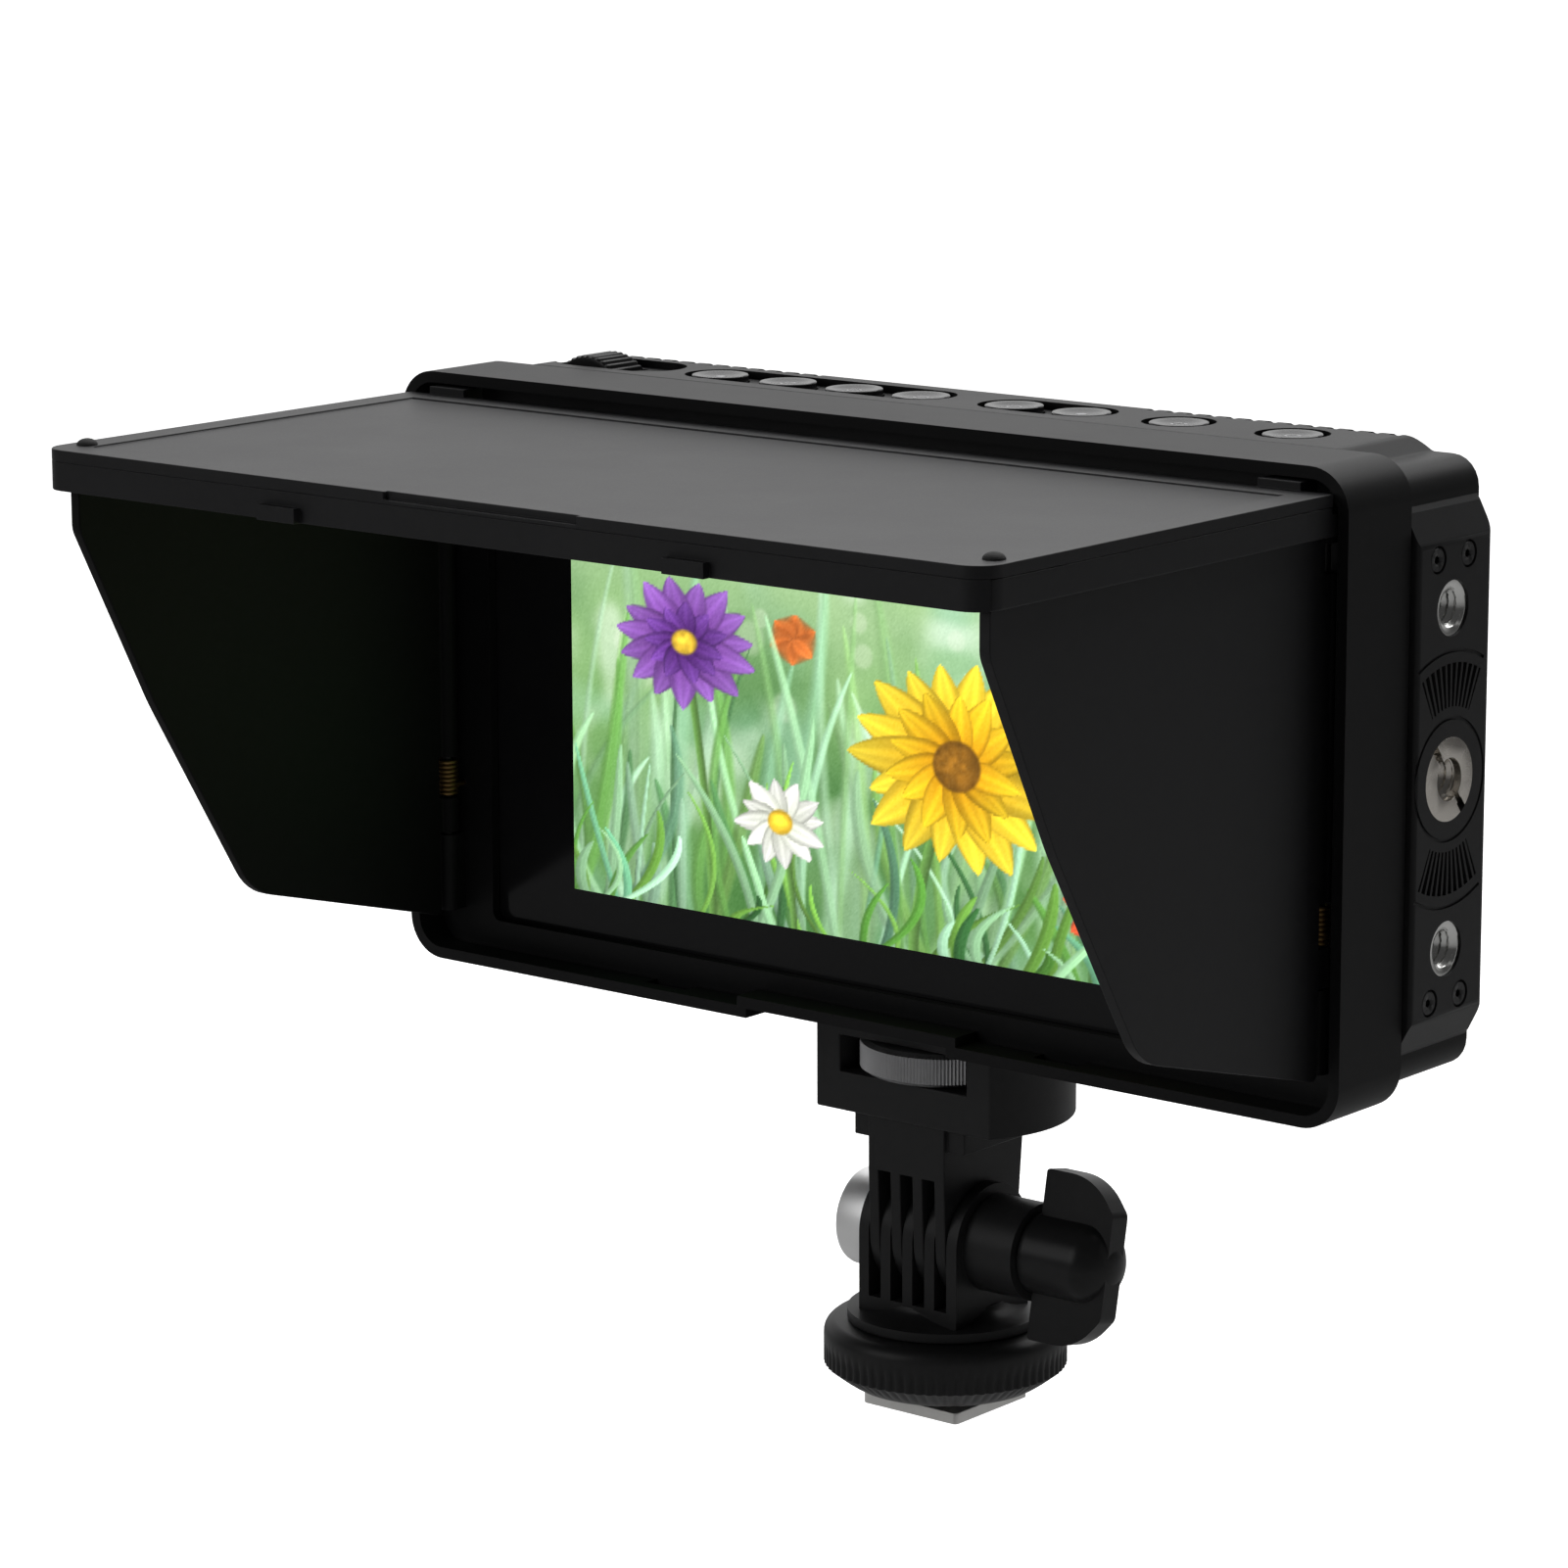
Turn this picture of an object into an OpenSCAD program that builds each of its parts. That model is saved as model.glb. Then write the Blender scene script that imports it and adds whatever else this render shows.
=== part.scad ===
// Camera field monitor with a folding sun hood on a tilting shoe mount.
// Millimetres. +X is the monitor's right seen from the front, +Y its back, +Z up.
// The origin is the centre of the shoe foot's bottom face.

/* [Shoe foot and lock wheel] */
// Side of the square foot plate
foot_side = 18.6; // [17.8:0.1:18.6]
// Thickness of the foot plate
foot_t = 1.9; // [1.6:0.1:2.0]
// Gap between the foot plate and the lock wheel, where the shoe's lips go
shoe_gap = 1.7; // [1.6:0.1:2.6]
// Radius of the post that carries the lock wheel
post_r = 4.0; // [3:0.1:5]
// Radius of the lock wheel over its ribs
lock_r = 19.2; // [17:0.1:20]
// Height of the lock wheel
lock_h = 10.1; // [8:0.1:12]
// Number of ribs on the lock wheel
lock_ribs = 72; // [48:1:90]

/* [Tilt hinge] */
// Height of the hinge axis above the foot
hinge_z = 27.8; // [27.4:0.1:30]
// Radius of the hinge fingers
finger_r = 9.3; // [8:0.1:9.4]
// Distance from one finger to the next on the same part
finger_pitch = 4.32; // [4.1:0.02:4.8]
// Thickness of one finger
finger_t = 1.96; // [1.6:0.02:2.0]
// Radius of the hinge bolt
bolt_r = 2.5; // [2:0.05:2.9]
// Radius of the flange that the fork stands on
skirt_r = 15.5; // [14:0.1:17]
// Radius of the boss between the fork and the knob
boss_r = 7.7; // [7:0.1:8.4]
// Length of that boss
boss_l = 9.2; // [7:0.1:12]
// Radius of the cap nut
cap_r = 7.9; // [7:0.1:8.6]
// Length of the cap nut
cap_l = 6.3; // [5.5:0.1:8]
// Radius of the knob's barrel
knob_r = 6.4; // [5.6:0.1:7]
// Length of the knob
knob_l = 14.4; // [13.6:0.1:16]
// Tip-to-tip size of the knob's wing
wing_span = 26.8; // [24:0.1:28]
// Thickness of the knob's wing
wing_t = 4.0; // [3:0.1:5]

/* [Mount block] */
// Radius of the D-shaped block
block_r = 20.3; // [19:0.1:21]
// Distance from the screw to the block's flat front
block_flat = 11.1; // [10.4:0.1:12]
// Height of the block
block_h = 15.6; // [14:0.1:16]
// Thickness of the rubber pad on the block
pad_t = 0.8; // [0.5:0.1:1.2]
// Radius of the thumb wheel
thumb_r = 13.5; // [13:0.1:14.2]
// Thickness of the thumb wheel
thumb_t = 5.2; // [4.4:0.1:5.6]
// Thread radius of the 1/4 inch mounting screw
screw_r = 3.175; // [3.175:0.001:3.175]

/* [Monitor body] */
// Width over the side pads
body_w = 182.4; // [181:0.1:184]
// Height of the body
body_h = 95.4; // [94:0.1:97]
// Depth of the rear shell
rear_d = 20.1; // [19:0.1:23]
// Distance from the mounting screw to the rear shell's front
screw_to_front = 9.1; // [8.6:0.1:9.6]
// Wall of the shells
wall = 2.4; // [2:0.1:2.8]
// Width of the stepped corner beside the top and bottom faces
step_w = 14.2; // [12:0.1:16]
// Depth of that step
step_d = 2.3; // [1.6:0.1:3]

/* [Screen] */
// Width of the picture
picture_w = 122; // [118:1:124]
// Height of the picture
picture_h = 68.6; // [66:0.1:70]
// Width of the glass
glass_w = 158; // [150:1:160]
// Height of the glass
glass_h = 86; // [80:1:87]
// Thickness of the glass
glass_t = 1.1; // [0.7:0.1:1.5]

/* [Buttons] */
// Radius of a button cap
button_r = 4.5; // [4:0.1:4.8]
// Radius of the dark groove round a cap
groove_r = 5.6; // [5.3:0.1:5.8]
// Travel of a button
button_travel = 0.6; // [0.3:0.1:0.8]
// Radius of the menu roller
dial_r = 8; // [7.4:0.1:8]
// Width of the menu roller
dial_w = 7.6; // [6:0.1:8]

/* [Hood frame] */
// Width of the hood frame
hood_w = 180; // [179:0.1:181]
// Depth of the hood frame
hood_d = 16; // [15:0.1:17]
// Wall of the hood frame
hood_wall = 1.8; // [1.5:0.1:2]
// Outer corner radius of the hood frame
hood_corner = 6.5; // [5.5:0.1:8]
// Depth from the frame's front edge to its inner flange
flange_in = 5.4; // [5.2:0.1:6.2]
// Width of the opening in the flange
view_w = 154; // [146:1:156]
// Height of the opening in the flange
view_h = 82.8; // [78:0.1:84]

/* [Flaps] */
// Reach of the top flap in front of the hood frame
top_reach = 80.5; // [74:0.5:84]
// Depth of the top flap's turned-down rim
rim_h = 6.1; // [5:0.1:6.1]
// Thickness of the flap panels
flap_t = 1.8; // [1.4:0.1:2]
// Reach of the side flaps in front of the hood frame
side_reach = 76.5; // [70:0.5:76.5]
// Radius of the hinge pins
pin_r = 0.8; // [0.6:0.05:1]
// Radius of the side flap's hinge barrel
barrel_r = 1.7; // [1.5:0.1:1.9]

/* [Battery plate] */
// Width of the battery plate
plate_w = 39; // [38:0.5:42]
// Height of the battery plate
plate_h = 70; // [66:1:76]
// Thickness of the battery plate
plate_t = 3.2; // [2.6:0.1:4]

/* [Hidden] */
$fn = 64;

// Clearances that the fits share
gap = 0.3;        // between faces that pass each other
run = 0.08;       // a shaft in its bore
snug = 0.03;      // a pin held in its seat
slip = 0.15;      // a spigot in its socket

// Mount, from the foot up
lock_z = foot_t + shoe_gap;
base_z = lock_z + lock_h + gap;
post_bite = 3.4;
skirt_t = 1.5;
slot_floor = hinge_z - finger_r - 0.5;
fork_half = 2 * finger_pitch + finger_t / 2;
arm_half = 1.5 * finger_pitch + finger_t / 2;
finger_gap = finger_pitch - finger_t;
hinge_y = -0.5;
boss_x = fork_half + boss_l;
knob_x = boss_x + gap;
knob_wall = 5;
dome_l = 5;
wing_in = knob_x + 0.6;
wing_out = knob_x + knob_l - 0.5;
wing_lean = -11;
bolt_end = fork_half + cap_l - 1.7;
root_z = hinge_z + finger_r + 1.8;
collar_h = 3.9;
collar_half = 10.8;
collar_front = -9.4;
collar_back = 6.1;
arm_back = 10.4;
arm_top = hinge_z + 19.8;
block_top = arm_top + block_h;
thumb_z = arm_top + 9.2;
thumb_play = 0.3;
window_half = 12.4;
arm_screw_x = 5.6;
arm_screw_r = 1;
arm_head_r = 1.9;
arm_head_z = thumb_z - thumb_t / 2 - thumb_play - 2;

// Monitor, from the mounting screw out
body_z = block_top + pad_t;
mid_z = body_z + body_h / 2;
top_z = body_z + body_h;
front_y = -screw_to_front;
rear_y = front_y + rear_d;
half_w = body_w / 2;
half_h = body_h / 2;
side_pad_t = 3;
shell_w = half_w - side_pad_t;
cavity_w = shell_w - 4.2;
inner_y = rear_y - wall;
spigot = 2.6;
edge_r = 2.5;
step_x = half_w - step_w;

// Hood frame, from the rear shell's front forward
hood_rear = front_y - gap;
hood_y = hood_rear - hood_d;
flange_y = hood_y + flange_in;
flange_t = 1.6;
shell_y = flange_y + flange_t + 0.2;
shell_half_w = hood_w / 2 - hood_wall - gap;
shell_half_h = half_h - hood_wall - gap;
notch_half = 19.5;
notch_h = 1.5;
catch_x = hood_w / 2 - 27.5;
catch_w = 8;
catch_y = hood_rear - 7;
catch_d = 2;

// Screen stack
lcd_w = picture_w + 8;
lcd_h = picture_h + 7;
lcd_t = 3.6;
lcd_y = shell_y + glass_t + 0.1;
board_w = 2 * cavity_w - 8;
board_h = body_h - 33.4;
board_t = 1.6;
board_y = front_y + spigot + 0.5;
board_x = board_w / 2 - 22;
board_dz = board_h / 2 - 4;
standoff_r = 2.4;
column_x = shell_half_w - 9.9;
column_dz = half_h - 10.7;
column_r = 3;
face_t = 2.8;

// Top controls
button_x = [-45.3, -31.5, -18.3, -5.2, 12.6, 25.2, 43, 63.2];
groove_d = 1.2;
hole_r = button_r + 0.25;
flange_r = button_r + 0.7;
stem_r = 1.6;
key_z = top_z - 11.2;
key_t = 1.6;
switch_h = 2.2;
stem_z = key_z + key_t + switch_h + button_travel + 0.1;
key_post_x = [-52.5, 3.7, 34.1, 53.1];
key_x0 = button_x[0] - 11;
key_x1 = button_x[7] + 7;
dial_x = 21.2 - half_w;
dial_z = top_z - dial_r + 1.4;
axle_r = 1;

// Side threads
thread_z = 25;
insert_r = 4.1;
insert_l = 6.6;
bush_r = 6.2;
bush_l = 6.8;
fan_in = 10.6;
fan_out = 17;
fan_ribs = 11;
fan_step = 4.9;
fan_depth = 0.6;
arc_r = 19;
ring_r = 9.2;
fine_w = 0.5;
pad_screw_dy = 4;
pad_screw_dz = 32.4;
small_screw_r = 1.9;
screw_core = 0.9;
bush_seat_r = 4.8;
bush_h = 6.5;

// Ports in the left side, at heights from the middle of the body
port_y = board_y + 3.4;
port_in = 1.4;
port_l = 12;
hdmi_in_z = 20;
hdmi_out_z = 1.5;
usb_z = -13;
jack_z = -24;
jack_r = 3;

// Rear
plate_z = mid_z - 3;
rib_pitch = 3.6;
rib_n = 13;
rib_x = half_w - 59.7;
plate_screw_x = plate_w / 2 - 4;
plate_screw_dz = plate_h / 2 - 5;
contact_z = plate_z + 22;
latch_z = plate_z - 27;
latch_w = 12;

// Flaps
side_axis_x = hood_w / 2 - 5.8;
side_axis_y = hood_y + 3;
top_axis_y = hood_y + 3.4;
top_axis_z = top_z - 7.9;
flap_half = hood_w / 2 - hood_wall - 0.5;
flap_top = top_z - hood_wall - 1.7;
rim_t = 1.6;
rim_corner = 0.6;
flap_corner = 4.2;
border_w = 5;
ear_x0 = hood_w / 2 - 14.5;
ear_x1 = hood_w / 2 - 7.2;
lip_half = 18;
rim_z = flap_top - rim_h;
top_front = hood_y - top_reach;
rim_front = top_front + rim_t + rim_corner;
side_front = hood_y - side_reach;
side_top = rim_z + 0.5;
side_plate_in = 0.3;
lug_x0 = side_axis_x - 1.3;
lug_x1 = side_axis_x + 1.6;
notch_y = side_axis_y - 2.2;
panel_rear = hood_y - 0.4;
coil_low = body_z + 26.2;
coil_high = body_z + 32.8;
barrel_low = body_z + 20.4;
barrel_high = body_z + body_h - 15.2;
lug_low = body_z + 7.6;
lug_high = body_z + body_h - 11;
lug_low_top = body_z + 20;
top_pin_x = hood_w / 2 - 11.8;
side_pin_top = top_axis_z - pin_r - gap;
coil_r = 1.3;
wire_r = 0.38;
side_notch_top = top_axis_z - coil_r - wire_r - gap;
tab_x = 38;
tab_w = 7.4;
bumper_x = hood_w / 2 - 5.6;
bumper_y = top_front + 6.5;

// ---- helpers -------------------------------------------------------------

// A profile in the XZ plane, extruded along Y from y0 to y1
module along_y(y0, y1) {
    translate([0, y1, 0]) rotate([90, 0, 0]) linear_extrude(y1 - y0) children();
}

// A profile in the YZ plane, extruded along X from x0 to x1
module along_x(x0, x1) {
    translate([x0, 0, 0]) rotate([90, 0, 90]) linear_extrude(x1 - x0) children();
}

// A block between two corners
module block(low, high) {
    translate(low) cube(high - low);
}

// A cylinder along X
module x_cyl(r, x0, x1) {
    translate([x0, 0, 0]) rotate([0, 90, 0]) cylinder(r = r, h = x1 - x0);
}

// A cylinder along Y
module y_cyl(r, y0, y1) {
    translate([0, y1, 0]) rotate([90, 0, 0]) cylinder(r = r, h = y1 - y0);
}

// A rectangle with round corners, centred
module rounded_rect(w, h, r) {
    square([w, h - 2 * r], center = true);
    square([w - 2 * r, h], center = true);
    for (x = [-1, 1], y = [-1, 1]) {
        translate([x * (w / 2 - r), y * (h / 2 - r)]) circle(r);
    }
}

// A bar with round ends along X, centred
module slot_shape(l, r) {
    if (l > 0) {
        square([l, 2 * r], center = true);
        translate([-l / 2, 0]) circle(r);
    }
    translate([l / 2, 0]) circle(r);
}

function unit(v) = v / norm(v);

// The arc that rounds corner b between the points a and c
function corner_arc(a, b, c, r, n) =
    let (u = unit(a - b), v = unit(c - b), half = acos(u * v) / 2)
    let (p = b + u * r / tan(half), q = b + v * r / tan(half))
    let (o = b + unit(u + v) * r / sin(half))
    let (s = atan2(p.y - o.y, p.x - o.x), e = atan2(q.y - o.y, q.x - o.x))
    let (turn = e - s > 180 ? e - s - 360 : (e - s < -180 ? e - s + 360 : e - s))
    [for (i = [0:n]) o + r * [cos(s + turn * i / n), sin(s + turn * i / n)]];

// A closed outline through [x, y, corner radius] points
function rounded(p, n = 6) =
    let (m = len(p))
    [for (i = [0:m - 1]) let (a = p[(i + m - 1) % m], b = p[i], c = p[(i + 1) % m])
        each (b[2] > 0
            ? corner_arc([a.x, a.y], [b.x, b.y], [c.x, c.y], b[2], n)
            : [[b.x, b.y]])];

// The outline of a wheel with n ribs between the radii r - d and r
function ribbed(n, r, d) =
    [for (i = [0:n - 1], k = [0:3])
        let (a = 360 / n * (i + [0, 0.32, 0.5, 0.82][k]), q = k < 2 ? r : r - d)
        q * [cos(a), sin(a)]];

// ---- mount ---------------------------------------------------------------

module shoe_foot() color("silver") {
    linear_extrude(foot_t) rounded_rect(foot_side, foot_side, 0.8);
    translate([0, 0, foot_t / 2]) cylinder(r = post_r, h = base_z + post_bite - foot_t / 2);
}

module lock_wheel() color([0.09, 0.09, 0.1])
    translate([0, 0, lock_z]) difference() {
        intersection() {
            linear_extrude(lock_h) polygon(ribbed(lock_ribs, lock_r, 0.5));
            rotate_extrude() polygon([
                [0, 0], [lock_r - 1.6, 0], [lock_r + 0.1, 2], [lock_r + 0.1, lock_h - 2],
                [lock_r - 2, lock_h], [0, lock_h]
            ]);
        }
        translate([0, 0, -1]) cylinder(r = post_r + run, h = lock_h + 2);
        translate([0, 0, lock_h - 1.2]) cylinder(r = skirt_r - 2.5, h = 2);
    }

// The side view of a hinge half: a round end on a leg
module hinge_leg(y0, y1, z0, z1) {
    translate([hinge_y, hinge_z]) circle(finger_r);
    translate([y0, z0]) square([y1 - y0, z1 - z0]);
}

module tilt_base() color([0.1, 0.1, 0.11])
    difference() {
        union() {
            along_x(-fork_half, fork_half)
                hinge_leg(hinge_y - finger_r, hinge_y + finger_r, base_z + 1, hinge_z);
            translate([0, 0, base_z]) rotate_extrude() polygon(concat(
                [[0, 0], [skirt_r, 0], [skirt_r, skirt_t]],
                [for (a = [0:15:90])
                    [skirt_r - 1 - 4.6 * sin(a), slot_floor - base_z - 0.4
                        - (slot_floor - base_z - 0.4 - skirt_t) * cos(a)]],
                [[0, slot_floor - base_z - 0.4]]
            ));
            translate([0, hinge_y, hinge_z]) x_cyl(boss_r, 0, boss_x);
        }
        for (i = [-1.5, -0.5, 0.5, 1.5]) {
            translate([i * finger_pitch - finger_gap / 2, -50, slot_floor])
                cube([finger_gap, 100, 100]);
        }
        translate([0, hinge_y, hinge_z]) x_cyl(bolt_r + run, -50, 50);
        translate([0, 0, base_z - 1]) cylinder(r = post_r + snug, h = post_bite + 1.1);
    }

module cap_nut() color([0.75, 0.76, 0.78])
    translate([-fork_half, hinge_y, hinge_z]) rotate([0, -90, 0])
        difference() {
            rotate_extrude() polygon([
                [0, 0], [cap_r, 0], [cap_r, cap_l - 0.8], [cap_r - 0.8, cap_l], [0, cap_l]
            ]);
            translate([0, 0, -1]) cylinder(r = bolt_r + run, h = cap_l);
        }

module tilt_bolt() color("silver")
    translate([0, hinge_y, hinge_z]) x_cyl(bolt_r, -bolt_end, knob_x + knob_l - knob_wall);

module tilt_knob() color([0.09, 0.09, 0.1])
    translate([0, hinge_y, hinge_z]) difference() {
        union() {
            x_cyl(knob_r, knob_x, knob_x + knob_l - dome_l);
            translate([knob_x + knob_l - dome_l, 0, 0]) knob_end();
            rotate([wing_lean, 0, 0]) along_y(-wing_t / 2, wing_t / 2) wing_shape();
        }
        x_cyl(bolt_r + snug, knob_x - 1, knob_x + knob_l - knob_wall + snug);
    }

// The domed outer end of the knob's barrel
module knob_end() {
    rotate([0, 90, 0]) rotate_extrude() polygon(concat(
        [[0, -0.5], [knob_r, -0.5]],
        [for (a = [0:10:90]) [knob_r * cos(a), dome_l * sin(a)]]
    ));
}

// The wing seen from the side: a D with a flat outer end
module wing_shape() {
    h = wing_span / 2;
    polygon(rounded([
        [wing_in, -h, 0.6], [wing_out - 4.3, -h, 9], [wing_out, 5.2 - h, 2],
        [wing_out, h - 5.2, 2], [wing_out - 4.3, h, 9], [wing_in, h, 0.6]
    ], 8));
}

module mount_arm() color([0.1, 0.1, 0.11])
    difference() {
        union() {
            along_x(-arm_half, arm_half) {
                hinge_leg(hinge_y - finger_r, hinge_y + finger_r, hinge_z, hinge_z + 1);
                polygon([
                    [hinge_y - finger_r, hinge_z], [hinge_y + finger_r, hinge_z],
                    [arm_back, arm_top - collar_h / 2], [arm_back, arm_top],
                    [hinge_y - finger_r - 0.4, arm_top], [hinge_y - finger_r - 0.4, root_z]
                ]);
            }
            block([-collar_half, collar_front, arm_top - collar_h], [collar_half, collar_back, arm_top]);
        }
        for (i = [-1, 0, 1]) {
            translate([i * finger_pitch - finger_gap / 2, -50, 0])
                cube([finger_gap, 100, root_z]);
        }
        translate([0, hinge_y, hinge_z]) x_cyl(bolt_r + run, -50, 50);
        arm_screw_pair(arm_screw_r, arm_top - 7, arm_top + 1);
    }

// Two upright cylinders at the arm screws
module arm_screw_pair(r, z0, z1) {
    for (x = [-arm_screw_x, arm_screw_x]) {
        translate([x, 0, z0]) cylinder(r = r, h = z1 - z0);
    }
}

// The D outline of the block: a disc with a flat front
module block_outline(inset = 0) {
    difference() {
        circle(block_r - inset);
        translate([-50, -100 - block_flat + inset]) square([100, 100]);
    }
}

module mount_block() color([0.1, 0.1, 0.11])
    difference() {
        translate([0, 0, arm_top]) linear_extrude(block_h) block_outline();
        translate([0, 0, thumb_z - thumb_t / 2 - thumb_play])
            cylinder(r = thumb_r + 0.6, h = thumb_t + 2 * thumb_play);
        block([-window_half, -50, thumb_z - thumb_t / 2 - thumb_play],
              [window_half, 0, thumb_z + thumb_t / 2 + thumb_play]);
        translate([0, 0, arm_top + 3]) cylinder(r = screw_r + run, h = 50);
        arm_screw_pair(arm_screw_r + slip, arm_top - 1, arm_head_z + 1);
        arm_screw_pair(arm_head_r + slip, arm_head_z, arm_head_z + 3);
    }

module arm_screws() color("dimgray") {
    arm_screw_pair(arm_screw_r - snug, arm_top - 6.5, arm_head_z + 0.5);
    arm_screw_pair(arm_head_r, arm_head_z, arm_head_z + 1.6);
}

module mount_pad() color([0.16, 0.16, 0.17])
    difference() {
        translate([0, 0, block_top]) linear_extrude(pad_t) difference() {
            block_outline(1.2);
            translate([-50, front_y - 100]) square([100, 100]);
        }
        translate([0, 0, block_top - 1]) cylinder(r = screw_r + 0.6, h = 5);
    }

module thumb_wheel() color([0.45, 0.45, 0.46])
    translate([0, 0, thumb_z - thumb_t / 2]) difference() {
        intersection() {
            linear_extrude(thumb_t) polygon(ribbed(90, thumb_r, 0.3));
            rotate_extrude() polygon([
                [0, 0], [thumb_r - 0.5, 0], [thumb_r + 0.1, 0.5],
                [thumb_r + 0.1, thumb_t - 0.5], [thumb_r - 0.5, thumb_t], [0, thumb_t]
            ]);
        }
        translate([0, 0, -1]) cylinder(r = screw_r + snug, h = thumb_t + 2);
    }

module mount_screw() color("silver")
    translate([0, 0, arm_top + 3.5]) cylinder(r = screw_r, h = body_z + 5 - arm_top - 3.5);

// ---- monitor body --------------------------------------------------------

// A part and its mirror image
module both() {
    children();
    mirror([1, 0, 0]) children();
}

function flipped(p) = [for (i = [len(p) - 1:-1:0]) p[i]];

// A closed outline from its upper right quarter, about the middle of the body
function four_quarters(q) = concat(
    q,
    flipped([for (p = q) [p[0], -p[1], p[2]]]),
    [for (p = q) [-p[0], -p[1], p[2]]],
    flipped([for (p = q) [-p[0], p[1], p[2]]])
);

// The section of the rear shell: a box with stepped corners
function shell_outline() = rounded(four_quarters([
    [step_x, half_h, 2.5], [step_x + 3.2, half_h - step_d, 1.5], [shell_w, half_h - step_d, 4.5]
]));

// The section of its inside, less a clearance
function cavity_outline(c) = rounded(four_quarters([
    [step_x - 1 - c, half_h - wall - c, 1],
    [step_x + 1.6 - c, half_h - step_d - wall - c, 1],
    [cavity_w - c, half_h - step_d - wall - c, 2]
]));

// The block between the shell's rear edges, rounded over along its length
module rear_edges() {
    along_x(-half_w - 1, half_w + 1) polygon(rounded([
        [front_y, body_z, 0.6], [rear_y, body_z, edge_r],
        [rear_y, top_z, edge_r], [front_y, top_z, 0.6]
    ]));
}

// Moves a profile drawn about the middle of the body to its place
module at_mid() {
    translate([0, 0, mid_z]) children();
}

// A cylinder along Y at each corner of a rectangle with its middle at z
module four_y(z, x, dz, r, y0, y1) {
    for (i = [-1, 1], k = [-1, 1]) {
        translate([i * x, 0, z + k * dz]) y_cyl(r, y0, y1);
    }
}

module front_shell() color([0.06, 0.06, 0.065])
    difference() {
        union() {
            at_mid() along_y(shell_y, front_y)
                rounded_rect(2 * shell_half_w, 2 * shell_half_h, hood_corner - hood_wall);
            at_mid() along_y(front_y - 0.5, front_y + spigot) polygon(cavity_outline(slip));
            both() snap_catch(0);
        }
        difference() {
            at_mid() along_y(shell_y + face_t, front_y + spigot + 1)
                rounded_rect(2 * cavity_w - 5, 2 * (half_h - step_d - wall) - 5, 3);
            four_y(mid_z, column_x, column_dz, column_r, shell_y, front_y + spigot);
        }
        at_mid() along_y(shell_y - 1, lcd_y)
            rounded_rect(glass_w + 2 * slip, glass_h + 2 * slip, 2);
        at_mid() along_y(shell_y, shell_y + face_t + 1)
            square([lcd_w + 2 * slip, lcd_h + 2 * slip], center = true);
        four_y(mid_z, column_x, column_dz, screw_core, shell_y + face_t, front_y + spigot + 1);
        block([-notch_half - hood_wall - gap, shell_y - 1, body_z],
              [notch_half + hood_wall + gap, front_y, body_z + notch_h + hood_wall + gap]);
    }

// A catch of the front shell, or with a clearance the recess that it snaps into
module snap_catch(c) {
    block([catch_x - c, catch_y - c, body_z + hood_wall - 0.6 - c],
          [catch_x + catch_w + c, catch_y + catch_d + c, body_z + hood_wall + 1]);
}

module rear_shell() color([0.13, 0.13, 0.14])
    difference() {
        union() {
            difference() {
                intersection() {
                    at_mid() along_y(front_y, rear_y) polygon(shell_outline());
                    rear_edges();
                }
                at_mid() along_y(front_y - 1, inner_y) polygon(cavity_outline(0));
                translate([0, 0, top_z - groove_d]) button_recesses();
                both() rear_fins();
            }
            four_y(mid_z, board_x, board_dz, standoff_r, board_y, inner_y + 0.5);
            four_y(mid_z, column_x, column_dz, column_r, front_y + spigot + 0.2, inner_y + 0.5);
            four_y(plate_z, plate_screw_x, plate_screw_dz, 2.6, inner_y - 3.5, inner_y + 0.5);
            translate([0, 0, body_z + 1]) cylinder(r = bush_seat_r + 1.6, h = bush_h);
            for (x = key_post_x) {
                translate([x, 0, key_z + key_t]) cylinder(r = 1.4, h = top_z - wall - key_z);
            }
            for (y = [dial_w / 2 + gap, -dial_w / 2 - gap - 1.6]) {
                block([dial_x - 3, y, dial_z - 2.2], [dial_x + 3, y + 1.6, top_z - wall + 0.5]);
            }
        }
        for (x = button_x) {
            translate([x, 0, top_z - wall - 1]) cylinder(r = hole_r, h = wall + 2);
        }
        four_y(mid_z, board_x, board_dz, screw_core, board_y - 1, board_y + 7);
        four_y(mid_z, column_x, column_dz, 1.3, front_y, rear_y);
        four_y(mid_z, column_x, column_dz, 2.4, rear_y - 4, rear_y + 1);
        four_y(plate_z, plate_screw_x, plate_screw_dz, screw_core, inner_y - 3, rear_y + 1);
        translate([0, 0, body_z - 1]) cylinder(r = bush_seat_r, h = bush_h + 3);
        side_bores(shell_w - 10, shell_w + 1);
        port_holes(-shell_w - 1, -cavity_w + 1);
        pad_screw_holes(screw_core, shell_w - 3.6, shell_w + 1);
        translate([dial_x, 0, dial_z]) {
            y_cyl(dial_r + 0.4, -dial_w / 2 - gap, dial_w / 2 + gap);
            y_cyl(axle_r + snug, -dial_w / 2 - 2, dial_w / 2 + 2);
        }
    }

// The shallow recesses in the top face that the buttons stand in
module button_recesses() {
    linear_extrude(groove_d + 1) {
        for (span = [[0, 3], [4, 5], [6, 6], [7, 7]]) {
            a = button_x[span[0]];
            b = button_x[span[1]];
            translate([(a + b) / 2, 0]) slot_shape(b - a, groove_r);
        }
        translate([dial_x + 4, 0]) slot_shape(12, 6);
    }
}

// The upright grooves that leave cooling fins on one half of the rear face
module rear_fins() {
    for (i = [0:rib_n - 1]) {
        x = rib_x + i * rib_pitch;
        block([x, rear_y - 1.4, body_z + 14], [x + rib_pitch / 2, rear_y + 1, top_z + 1]);
        block([x, rear_y - 3.4, top_z - 1.6], [x + rib_pitch / 2, rear_y + 1, top_z + 1]);
    }
}

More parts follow.
